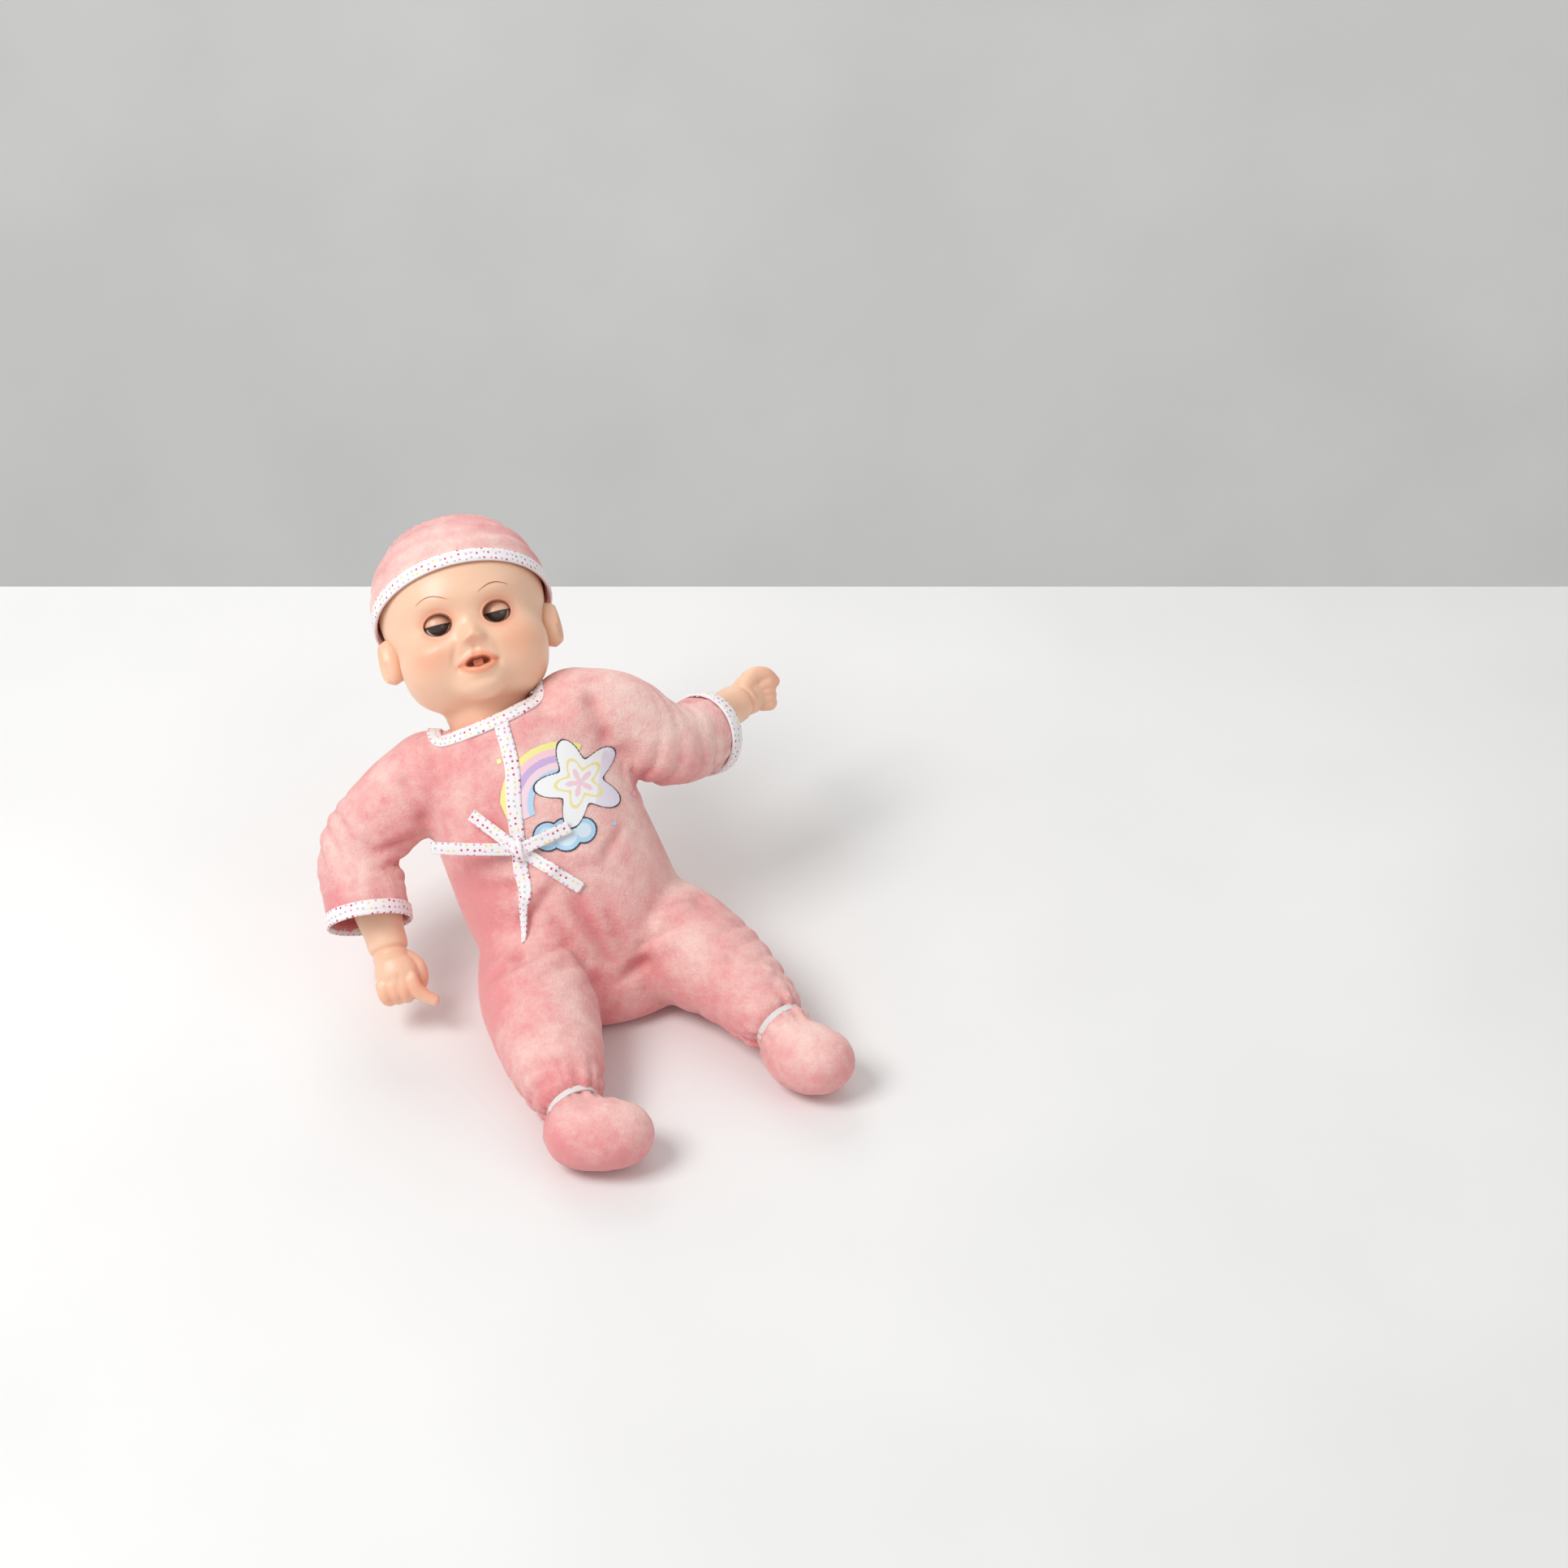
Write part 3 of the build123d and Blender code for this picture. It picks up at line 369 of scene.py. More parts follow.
def tape(name):
    s = Shader(name)
    uv = s.node("ShaderNodeUVMap", {"uv_map": "tape"})[0]
    cells = s.node("ShaderNodeTexVoronoi", {"feature": "F1", "voronoi_dimensions": "2D"}, {"Vector": uv, "Scale": 0.27, "Randomness": 0.4})
    dot = cells[0].below(0.2)
    hue = s.node("ShaderNodeSeparateColor", None, {0: cells[1]})
    tint = s.mix(hue[0].above(0.5), colour(0.72, 0.05, 0.18), colour(0.55, 0.55, 0.6))
    tint = s.mix(hue[1].above(0.72), tint, colour(0.95, 0.72, 0.2))
    tint = s.mix(hue[2].above(0.75), tint, colour(0.92, 0.35, 0.5))
    weave = s.noise(2200, 2)
    white = s.mix(weave, colour(0.86, 0.84, 0.86), colour(0.95, 0.94, 0.95))
    parts = s.node("ShaderNodeSeparateXYZ", None, {0: uv})
    stitch = s.node("ShaderNodeMath", {"operation": "FRACT"}, {0: parts[0] * 0.4})[0].below(0.7)
    row = (parts[1] - 1.5).maths("ABSOLUTE").below(0.25) * stitch
    base = s.mix(dot, white, tint)
    base = s.mix(row * 0.35, base, colour(0.6, 0.58, 0.62))
    s.set(Base_Color=base, Roughness=0.7, Sheen_Weight=0.15)
    s.bump(weave - row * 1.5, 0.4, 0.0003)
    return s.material


def painted(name, attribute, roughness=0.5):
    s = Shader(name)
    tint = s.attribute(attribute)[0]
    grain = s.noise(1200, 2)
    s.set(Base_Color=s.mix(grain * 0.08, tint, colour(0.5, 0.45, 0.48)), Roughness=roughness)
    s.bump(grain, 0.12, 0.0002)
    return s.material


def plain(name, tint, roughness=0.5, metallic=0.0, grainScale=500, coat=0.0):
    s = Shader(name)
    grain = s.noise(grainScale, 3)
    darker = tuple(c * 0.82 for c in tint[:3]) + (1.0,)
    s.set(Base_Color=s.mix(grain, darker, tint), Roughness=s.range(grain, 0.2, 0.8, roughness * 0.85, roughness * 1.1))
    s.set(Metallic=metallic, Coat_Weight=coat)
    s.bump(grain, 0.1, 0.0002)
    return s.material


def dress(piece, material):
    piece.data.materials.clear()
    piece.data.materials.append(material)


def floatAttribute(piece, name, values):
    made = piece.data.attributes.new(name, "FLOAT", "POINT")
    made.data.foreach_set("value", np.ascontiguousarray(values, dtype=np.float32))


def colourAttribute(piece, name, values):
    made = piece.data.attributes.new(name, "FLOAT_COLOR", "POINT")
    rgba = np.ones((len(values), 4), np.float32)
    rgba[:, :3] = values
    made.data.foreach_set("color", rgba.ravel())


def waves(points, scale, seed):
    rng = np.random.default_rng(seed)
    total = np.zeros(len(points))
    for k in range(6):
        way = rng.normal(size=3)
        way /= np.linalg.norm(way)
        total += np.sin(points @ way / scale * (0.7 + 0.25 * k) + rng.uniform(0, 6.28))
    return total / 3.0


# camera, light and stage

camera = dict(
    azimuth=-22.3, elevation=36.8, distance=1.8616, target=(0.1277, 0.0, 0.1237), lens=70, farEdge=0.41,
)


def makeCamera():
    a, e = math.radians(camera["azimuth"]), math.radians(camera["elevation"])
    back = Vector((math.sin(a) * math.cos(e), -math.cos(a) * math.cos(e), math.sin(e)))
    data = bpy.data.cameras.new("camera")
    data.lens = camera["lens"]
    data.sensor_width = 36
    made = bpy.data.objects.new("camera", data)
    made.location = Vector(camera["target"]) + back * camera["distance"]
    made.rotation_euler = back.to_track_quat("Z", "Y").to_euler()
    bpy.context.collection.objects.link(made)
    bpy.context.scene.camera = made


studio = dict(
    world=0.5, aim=(0, 0, 0.1),
    lights={"key": ((-1.3, -0.2, 1.9), 1.0, 30), "fill": ((1.4, -1.6, 1.5), 1.6, 5), "rim": ((0.2, 1.6, 1.4), 1.2, 8)},
)


def areaLight(name, place, aim, size, power):
    data = bpy.data.lights.new(name, "AREA")
    data.size, data.energy = size, power
    made = bpy.data.objects.new(name, data)
    made.location = place
    made.rotation_euler = (Vector(place) - Vector(aim)).to_track_quat("Z", "Y").to_euler()
    bpy.context.collection.objects.link(made)


def makeStage():
    a = math.radians(camera["azimuth"])
    turn = Matrix.Rotation(a, 4, "Z")
    middle = Vector(camera["target"])
    far = camera["farEdge"]
    for name, tint, corners in (
        ("table", colour(0.93, 0.93, 0.92), [(-3, -3, 0), (3, -3, 0), (3, far, 0), (-3, far, 0)]),
        ("tableEdge", colour(0.9, 0.9, 0.89), [(-3, far, 0), (3, far, 0), (3, far, -0.4), (-3, far, -0.4)]),
        ("backdrop", colour(0.95, 0.95, 0.93), [(-5, 2.2, -3), (5, 2.2, -3), (5, 2.2, 3), (-5, 2.2, 3)]),
    ):
        points = [turn @ Vector(c) + Vector((middle.x, middle.y, 0)) for c in corners]
        piece = newMesh(name, points, [(0, 1, 2, 3)])
        dress(piece, plain(name + "Paint", tint, 0.6, grainScale=3))
    world = bpy.data.worlds.new("studio")
    bpy.context.scene.world = world
    world.use_nodes = True
    world.node_tree.nodes["Background"].inputs[0].default_value = (1, 1, 1, 1)
    world.node_tree.nodes["Background"].inputs[1].default_value = studio["world"]
    for name, (place, size, power) in studio["lights"].items():
        areaLight(name, place, studio["aim"], size, power)
    bpy.context.scene.view_settings.view_transform = "Standard"


makeCamera()
makeStage()
print("camera and stage")


# romper: one skin over body and limbs, wrinkled, then parted at its seams

sides = {"right": -1, "left": 1}
hip = {n: jointPoint(f"{n}_hip") for n in sides}
shoulder = {n: jointPoint(f"{n}_shoulder") for n in sides}
elbow = {n: jointPoint(f"{n}_hand_twist") for n in sides}
cuff = {n: boxMiddle(f"{n}_cuff_binding") for n in sides}
knee = {n: boxMiddle(f"{n}_leg_tie") for n in sides}
ankle = {n: boxMiddle(f"{n}_ankle_elastic") for n in sides}

romper = dict(
    voxel=0.0026,
    stations=[
        (-51, 44, 36, 32, 0.0), (-44, 58, 48, 31, 0.0), (-30, 66, 55, 28, 0.05), (8, 66, 57, 15, 0.35),
        (42, 65, 53, 6, 0.8), (76, 63, 49, 0, 1.0), (110, 61, 45, 0, 1.0), (128, 57, 40, 0, 1.0),
        (141, 47, 35, 0, 1.0), (151, 33, 30, 0, 1.0),
    ],
    legRadii=[33, 35.5, 29, 18.5], ankleGrip=15.5, foldDepth=1.4,
    foot={
        "right": [(-3, -13, 0), (-5, -20, -1), (9, -27, 0), (17, -31, 0)],
        "left": [(2, -12, -3), (3, -20, -6), (9, -28, -5), (13, -33, -4)],
    },
    footRadii=[18, 20, 21.5, 20],
    armRadii=[29, 27.5, 25, 24.5],
)


def torsoSkin():
    rings = []
    angles = np.linspace(0, 2 * math.pi, 64, endpoint=False)
    spots = curveThrough(romper["stations"], 40)
    for height, halfWidth, halfDepth, setback, tilt in spots:
        centre = torso.origin + torso.z * height * mm + Vector((0, setback * mm, 0))
        level = Vector((0, 0, 1))
        up = (level * (1 - tilt) + torso.z * tilt).normalized()
        left = (torso.x - up * torso.x.dot(up)).normalized()
        back = up.cross(left)
        shape = np.outer(np.cos(angles) * halfWidth, left) + np.outer(np.sin(angles) * halfDepth, back)
        rings.append(np.array(centre) + shape * mm)
    return loft("torsoSkin", rings)


def legSkin(name):
    side = sides[name]
    inner = hip[name] + Vector((-side * 6, 14, 2)) * mm
    thigh = hip[name].lerp(knee[name], 0.35)
    joint = [inner, thigh, knee[name], ankle[name]]
    shin = limb(f"{name}Shin", joint, romper["legRadii"], count=40)
    foot = [ankle[name]] + [ankle[name] + Vector(step) * mm for step in romper["foot"][name]]
    boot = limb(f"{name}Boot", foot, [romper["ankleGrip"]] + romper["footRadii"], count=30)
    return [shin, boot]


def armSkin(name):
    side = sides[name]
    root = shoulder[name] - torso.x * side * 14 * mm
    along = (cuff[name] - elbow[name]).normalized()
    points = [root, shoulder[name].lerp(elbow[name], 0.3), elbow[name], cuff[name] + along * 4 * mm]
    return limb(f"{name}ArmSkin", points, romper["armRadii"], count=40)


def nearSegment(points, start, end):
    start, end = np.array(start), np.array(end)
    way = end - start
    share = np.clip((points - start) @ way / way.dot(way), 0, 1)
    away = np.linalg.norm(points - (start + np.outer(share, way)), axis=1)
    return share, away


def makeSkin():
    parts = [torsoSkin()]
    for name in sides:
        parts += legSkin(name)
        parts.append(armSkin(name))
    skin = join("skin", parts)
    applyModifier(skin, "REMESH", mode="VOXEL", voxel_size=romper["voxel"])
    applyModifier(skin, "SMOOTH", factor=0.5, iterations=8)
    return skin


# a fold ridge or valley; valleys also add painted crease shade
def addFold(points, normals, paintedCreaseShade, start, end, width, depth, seed=1):
    across = np.cross(np.array(end) - np.array(start), (0, 0, 1))
    wander = np.outer(waves(points, 0.02, seed), across * 0.03)
    share, away = nearSegment(points + wander, start, end)
    taper = np.clip(np.sin(np.pi * np.clip(share * 0.96 + 0.02, 0, 1)) * 1.6, 0, 1)
    shape = np.exp(-(away / (width * mm)) ** 2) * taper
    if depth < 0:
        paintedCreaseShade += shape * min(1.0, -depth / 4.0)
    return normals * (shape * depth * mm)[:, None]


def addRipples(points, normals, paintedCreaseShade, start, end, pitch, depth, centre, spread, seed):
    start, end = np.array(start), np.array(end)
    share, away = nearSegment(points, start, end)
    way = (end - start) / np.linalg.norm(end - start)
    flat = points - start - np.outer((points - start) @ way, way)
    side = np.cross(way, (0, 0, 1.0))
    side /= np.linalg.norm(side)
    angle = np.arctan2(flat @ np.cross(way, side), flat @ side)
    along = (points - start) @ way / mm
    phase = (
        along / pitch * math.pi + 1.7 * np.sin(angle + seed) + 1.1 * np.sin(2 * angle + 2.3 * seed)
        + 1.2 * waves(points, 0.02, seed)
    )
    height = np.abs(np.sin(phase))
    patch = np.clip(
        0.5 + 0.6 * np.sin(angle * 1.5 + seed * 1.7) + 0.4 * waves(points, 0.014, seed + 40), 0, 1.2
    )
    inReach = 1 / (1 + np.exp((away - 0.040) * 900))
    envelope = np.exp(-((share - centre) / spread) ** 2) * patch * inReach
    # ripple troughs get painted crease shade
    paintedCreaseShade += (1 - height) ** 3 * envelope * 0.55
    return normals * ((height - 0.55) * envelope * depth)[:, None] * mm


def wrinkle(skin):
    points, normals = readPoints(skin), readNormals(skin)
    # painted crease shade, gathered from folds, ripples, gathers and grooves
    paintedCreaseShade = np.zeros(len(points))
    local = torso.local(points)
    move = normals * (waves(points, 0.022, 3) * 0.7 + waves(points, 0.009, 4) * 0.25)[:, None] * mm

    def front(x, z, y=-50):
        return torso.at(x, y, z)

    crotch = (hip["right"] + hip["left"]) / 2 + Vector((0, -38, -4)) * mm
    folds = [
        # groin creases, and the pulls that fan out of them
        (crotch, hip["right"] + Vector((-30, -16, 38)) * mm, 5, -4.5),
        (crotch, hip["left"] + Vector((30, -16, 36)) * mm, 5, -4.5),
        (crotch + Vector((2, 0, 6)) * mm, front(4, 42, -52), 5, -3.0),
        (crotch + Vector((10, 2, 12)) * mm, front(24, 36, -50), 4, -2.2),
        (crotch + Vector((-10, 2, 12)) * mm, front(-16, 34, -50), 4, -2.2),
        (front(-30, 40, -44), front(6, 58, -50), 5, 1.8),
        (front(-34, 30, -40), front(0, 46, -52), 4, -1.8),
        (front(34, 44, -42), front(10, 62, -50), 5, 1.6),
        (front(-46, 62, -30), front(-20, 52, -46), 4, -1.6),
        (front(48, 60, -28), front(26, 46, -46), 4, -1.6),
    ]
    for name, side in sides.items():
        s, e, c = shoulder[name], elbow[name], cuff[name]
        pit = s - torso.z * 26 * mm - torso.x * side * 2 * mm
        folds += [
            (pit + torso.y * -20 * mm, s + torso.y * -26 * mm + torso.z * 12 * mm, 4.5, -3.2),
            (pit + torso.y * -14 * mm, e + torso.y * -20 * mm, 5, -2.2),
            (pit, e + torso.z * -22 * mm, 5, -2.4),
            (s.lerp(e, 0.5) + torso.y * -26 * mm, s.lerp(e, 0.9) + torso.z * -24 * mm, 4, 1.8),
            (e + torso.y * -25 * mm, e + torso.z * -24 * mm + (c - e) * 0.3, 4, -2.2),
            (e.lerp(c, 0.35) + torso.y * -25 * mm, e.lerp(c, 0.6) + torso.z * -22 * mm, 4, 1.6),
        ]
        h, k, a = hip[name], knee[name], ankle[name]
        out = Vector((side, 0, 0))
        folds += [
            (
                h.lerp(k, 0.45) + Vector((0, 0, 33)) * mm - out * 20 * mm,
                h.lerp(k, 0.7) + Vector((0, 0, 22)) * mm + out * 26 * mm, 4, -2.0,
            ),
            (
                h.lerp(k, 0.75) + Vector((0, 0, 28)) * mm - out * 18 * mm,
                h.lerp(k, 0.95) + Vector((0, 0, 20)) * mm + out * 22 * mm, 4, -1.8,
            ),
            (
                k.lerp(a, 0.15) + Vector((0, 0, 26)) * mm - out * 14 * mm,
                k.lerp(a, 0.4) + Vector((0, 0, 16)) * mm + out * 20 * mm, 4, -1.6,
            ),
            (
                k.lerp(a, 0.45) + Vector((0, 0, 24)) * mm + out * 14 * mm,
                k.lerp(a, 0.65) + Vector((0, 0, 16)) * mm - out * 16 * mm, 3.5, 1.4,
            ),
        ]
    for i, (start, end, width, depth) in enumerate(folds):
        move += addFold(points, normals, paintedCreaseShade, start, end, width, depth * romper["foldDepth"], i)
    for i, name in enumerate(sides):
        s, e, c, h, k, a = shoulder[name], elbow[name], cuff[name], hip[name], knee[name], ankle[name]
        for start, end, pitch, depth, centre, spread in (
            (s, e, 13, 2.4, 0.85, 0.30), (e, c, 11, 2.2, 0.25, 0.35),
            (h, k, 17, 2.6, 0.30, 0.22), (h, k, 15, 1.8, 0.85, 0.25),
            (k, a, 12, 2.6, 0.62, 0.30),
        ):
            move += addRipples(
                points, normals, paintedCreaseShade, start, end, pitch, depth, centre, spread, i * 3 + pitch
            )
    low, high = torso.at(0, 0, 20), torso.at(0, 0, 140)
    move += addRipples(points, normals, paintedCreaseShade, low, high, 19, 1.7, 0.12, 0.30, 5)
    for name in sides:
        gather(
            points, normals, move, paintedCreaseShade, ankle[name], (ankle[name] - knee[name]).normalized(), 15, 15, 3.4
        )
        gather(points, normals, move, paintedCreaseShade, cuff[name], (cuff[name] - elbow[name]).normalized(), 16, 11, 0.9)
    for name in sides:
        heel = ankle[name] + Vector(romper["foot"][name][0]) * mm
        toe = ankle[name] + Vector(romper["foot"][name][-1]) * mm
        share, away = nearSegment(points, heel, toe)
        onBoot = ((away < 0.027) & (points[:, 1] < ankle[name].y - 0.004)).astype(float)
        line = onBoot * np.exp(-((points[:, 2] - 0.0085) / 0.0011) ** 2)
        # the sole line is pressed in and darkened as painted shade; so is the toe dent
        move -= normals * (line * 1.3)[:, None] * mm
        paintedCreaseShade += line * 0.5
        dent = np.exp(
            -((points - np.array(toe + Vector((0.004, -0.019, -0.004)))) ** 2).sum(axis=1) / 0.009**2
        )
        move -= normals * (dent * 2.2)[:, None] * mm
        paintedCreaseShade += dent * 0.35
    writePoints(skin, points + move)
    points = readPoints(skin)
    points[:, 2] = np.maximum(points[:, 2], 0.0004)
    writePoints(skin, points)
    # the fold attribute carries the painted crease shade
    floatAttribute(skin, "fold", np.clip(paintedCreaseShade * 0.55, 0, 0.8))
    # painted highlight: upward-facing cloth is made paler by its normal, mixed with random nap patches
    shade = readNormals(skin)[:, 2] * 0.28 + 0.36 + waves(points, 0.03, 9) * 0.22
    floatAttribute(skin, "napAndPaintedTopLight", np.clip(shade, 0, 1))


def gather(points, normals, move, paintedCreaseShade, centre, along, reach, count, depth):
    along = np.array(along)
    away = (points - np.array(centre)) @ along
    flat = points - np.array(centre) - np.outer(away, along)
    side = np.cross(along, (0, 0, 1.0))
    side /= np.linalg.norm(side)
    angle = np.arctan2(flat @ np.cross(along, side), flat @ side)
    near = (np.linalg.norm(flat, axis=1) < 0.036) * np.exp(-(away / (reach * mm)) ** 2)
    pleat = np.sin(angle * count + 1.3 * np.sin(angle * 5)) * (0.6 + 0.4 * np.sin(angle * 3 + 1))
    ring = np.exp(-(away / (2.6 * mm)) ** 2) * (np.linalg.norm(flat, axis=1) < 0.036)
    move += normals * (near * pleat * depth * 0.45 - ring * depth * 1.1)[:, None] * mm
    # pleat valleys and the gather ring get painted crease shade
    paintedCreaseShade += near * np.clip(-pleat, 0, 1) * 0.7 + ring * 0.5


def partSkin(skin):
    points = readPoints(skin)
    region = np.zeros(len(points), int)
    for i, name in enumerate(sides):
        out = np.array((cuff[name] - elbow[name]).normalized())
        arm = nearSegment(points, shoulder[name], elbow[name])
        lower = nearSegment(points, elbow[name], cuff[name] + Vector(out) * 10 * mm)
        way = np.array((elbow[name] - shoulder[name]).normalized())
        inArm = ((points - np.array(shoulder[name])) @ way > 0.004) & (np.minimum(arm[1], lower[1]) < 0.036)
        region[inArm] = 1 + i
        leg = (knee[name] - hip[name]).normalized()
        ahead = (points - np.array(hip[name])) @ np.array(leg)
        upper = nearSegment(points, hip[name], knee[name])
        side = points[:, 0] * sides[name] > 0
        inLeg = side & (ahead > 0.010) & ((upper[1] < 0.0385) | (points[:, 1] < -0.07))
        region[inLeg] = 3 + i
    for i, name in enumerate(sides):
        way = np.array((cuff[name] - elbow[name]).normalized())
        past = ((points - np.array(cuff[name])) @ way > 0.001) & (region == 1 + i)
        region[past] = 9
    names = ["romperBodice", "rightSleeve", "leftSleeve", "rightLeg", "leftLeg"]
    pieces = {}
    for number, name in enumerate(names):
        copy = skin.copy()
        copy.data = skin.data.copy()
        copy.name = name
        bpy.context.collection.objects.link(copy)
        mesh = bmesh.new()
        mesh.from_mesh(copy.data)
        mesh.faces.ensure_lookup_table()
        away = [f for f in mesh.faces if min(region[v.index] for v in f.verts) != number]
        bmesh.ops.delete(mesh, geom=away, context="FACES")
        mesh.to_mesh(copy.data)
        mesh.free()
        pieces[name] = copy
    return pieces


skin = makeSkin()
wrinkle(skin)
smooth(skin)
skinTree = treeOf(skin)
print("skin", len(skin.data.vertices))
cloths = partSkin(skin)
bpy.data.objects.remove(skin)
pink = velour("pinkVelour")
for cloth in cloths.values():
    dress(cloth, pink)
    smooth(cloth)
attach(cloths["romperBodice"], "torso")
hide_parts("romper_bodice", "cloth_body")
for name in sides:
    sleeve, leg = cloths[f"{name}Sleeve"], cloths[f"{name}Leg"]
    along = (elbow[name] - shoulder[name]).normalized()
    shoulder[name] + along * 6 * mm
    shoulder[name] + along * 38 * mm
    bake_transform(sleeve)
    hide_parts(f"{name}_romper_sleeve", f"{name}_cloth_arm")
    along = (knee[name] - hip[name]).normalized()
    hip[name] + along * 14 * mm
    hip[name] + along * 55 * mm
    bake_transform(leg)
    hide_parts(f"{name}_romper_leg", f"{name}_cloth_leg", f"{name}_lower_leg")
print("romper")


# head: vinyl, shaped from soft ovals and fine features

face = dict(
    cranium=((0, 6, 70), (51, 51, 50)), jaw=((0, -8, 45), (41, 38, 38)), cheeks=((23, -21, 37), (21, 21, 20)),
    chin=((0, -32, 20), (15, 13, 12)), jowl=((20, -8, 28), (23, 25, 22)),
    brow=((0, -20, 74), (38, 27, 24)), throat=((0, 4, 4), (25, 25, 30)),
    eye=(18.0, 56.0), eyeOpening=(8.0, 6.3), mouth=29.0,
)


def blendedDistance(points, ovals, softness):
    total = np.zeros(len(points))
    for centre, sizes in ovals:
        q = (points - np.array(centre)) / np.array(sizes)
        length = np.linalg.norm(q, axis=1)
        distance = (length - 1) * np.min(sizes)
        total += np.exp(-distance / softness)
    return -softness * np.log(total)


def hump(points, centre, sizes):
    q = (points - np.array(centre)) / np.array(sizes)
    return np.exp(-(q**2).sum(axis=1))


def headForm():
    across, rings = 340, 260
    middle = np.array((0, -2, 52.0))
    turn = np.linspace(0, 2 * math.pi, across, endpoint=False)
    tilt = np.linspace(0.006, math.pi - 0.02, rings)
    way = np.array([
        [(math.sin(t) * math.cos(a), -math.cos(t), math.sin(t) * math.sin(a)) for a in turn] for t in tilt
    ]).reshape(-1, 3)
    x, z = face["cheeks"][0][0], face["cheeks"][0][2]
    cheeks = [((s * x, face["cheeks"][0][1], z), face["cheeks"][1]) for s in (-1, 1)]
    jowlX, jowlY, jowlZ = face["jowl"][0]
    cheeks += [((s * jowlX, jowlY, jowlZ), face["jowl"][1]) for s in (-1, 1)]
    ovals = [face["cranium"], face["jaw"], face["chin"], face["brow"], face["throat"]] + cheeks
    low, high = np.full(len(way), 5.0), np.full(len(way), 110.0)
    for _ in range(24):
        half = (low + high) / 2
        inside = blendedDistance(middle + way * half[:, None], ovals, 3.0) < 0
        low, high = np.where(inside, half, low), np.where(inside, high, half)
    points = middle + way * half[:, None]
    faces = []
    for i in range(rings - 1):
        for k in range(across):
            n = (k + 1) % across
            faces.append((i * across + k, (i + 1) * across + k, (i + 1) * across + n, i * across + n))
    faces.append(tuple(range(across)))
    faces.append(tuple(reversed(range((rings - 1) * across, rings * across))))
    return points, faces


def lipEdges(x):
    reach = np.clip(np.abs(x) / 13.5, 0, 1)
    line = face["mouth"] - 0.6 + 0.4 * np.exp(-((np.abs(x) - 3) / 2.5) ** 2)
    top = face["mouth"] + 7.2 * (1 - reach**1.5) - 1.1 * np.exp(-((x / 1.9) ** 2))
    bottom = face["mouth"] - 7.4 * (1 - reach**2.2)
    return top, line, bottom, 1 - reach**3


def sculptFace(points):
    front = (points[:, 1] < -5).astype(float)
    x, z = points[:, 0], points[:, 2]
    push = np.zeros(len(points))
    eyeX, eyeZ = face["eye"]
    wide, tall = face["eyeOpening"]
    for s in (-1, 1):
        push -= 4.5 * np.exp(-(((x - s * eyeX) / 13) ** 2 + ((z - eyeZ - 1) / 8.5) ** 2)) * front
        push += 1.6 * np.exp(-(((x - s * (eyeX + 1)) / 13) ** 2 + ((z - eyeZ - 13) / 5) ** 2)) * front
        push += 1.8 * np.exp(-(((x - s * (eyeX + 4)) / 13) ** 2 + ((z - eyeZ + 15) / 7) ** 2)) * front
        push += 3.2 * np.exp(-(((x - s * 4.6) / 3.0) ** 2 + ((z - 43.6) / 2.6) ** 2)) * front
        push -= 1.1 * np.exp(-(((x - s * (12 + (39 - z) * 0.35)) / 2.2) ** 2 + ((z - 36) / 6) ** 2)) * front
        push -= 1.6 * np.exp(-(((x - s * 11.5) / 2.4) ** 2 + ((z - 27.8) / 2.4) ** 2)) * front
    push += 7.0 * np.exp(-((x / 4.8) ** 2 + ((z - 46.0) / 4.4) ** 2)) * front
    push += 1.2 * np.exp(-((x / 4.6) ** 2 + ((z - 53) / 6) ** 2)) * front
    push -= 0.9 * np.exp(-((x / 1.8) ** 2 + ((z - 38.5) / 3.0) ** 2)) * front
    top, line, bottom, share = lipEdges(x)
    upper, lower = (top + line) / 2 + 0.4, (bottom + line) / 2 - 0.2
    push += 2.7 * share * np.exp(-((z - upper) / ((top - line) * 0.42 + 0.7)) ** 2) * front
    push += 3.1 * share * np.exp(-((z - lower) / ((line - bottom) * 0.42 + 0.7)) ** 2) * front
    push -= 1.2 * np.exp(-((x / 9) ** 2 + ((z - face["mouth"] + 10.5) / 2.6) ** 2)) * front
    seam = 1 / (1 + np.exp((np.abs(x) - 12.0) * 2.0))
    push -= 1.5 * seam * np.exp(-((z - line) / 0.9) ** 2) * front
    gap = 1.0 - np.sqrt((x / 7.0) ** 2 + ((z - line - 0.6) / 2.9) ** 2)
    push -= 6.5 / (1 + np.exp(-gap * 16)) * front
    points[:, 1] -= push
    for s in (-1, 1):
        oval = np.sqrt(((x - s * eyeX) / wide) ** 2 + ((z - eyeZ) / tall) ** 2)
        rim = np.exp(-((oval - 1.12) / 0.09) ** 2)
        points[:, 1] -= 0.7 * rim * front
        drop = 1 / (1 + np.exp((oval - 1.0) * 40))
        points[:, 1] += drop * 9.0 * front
    return points


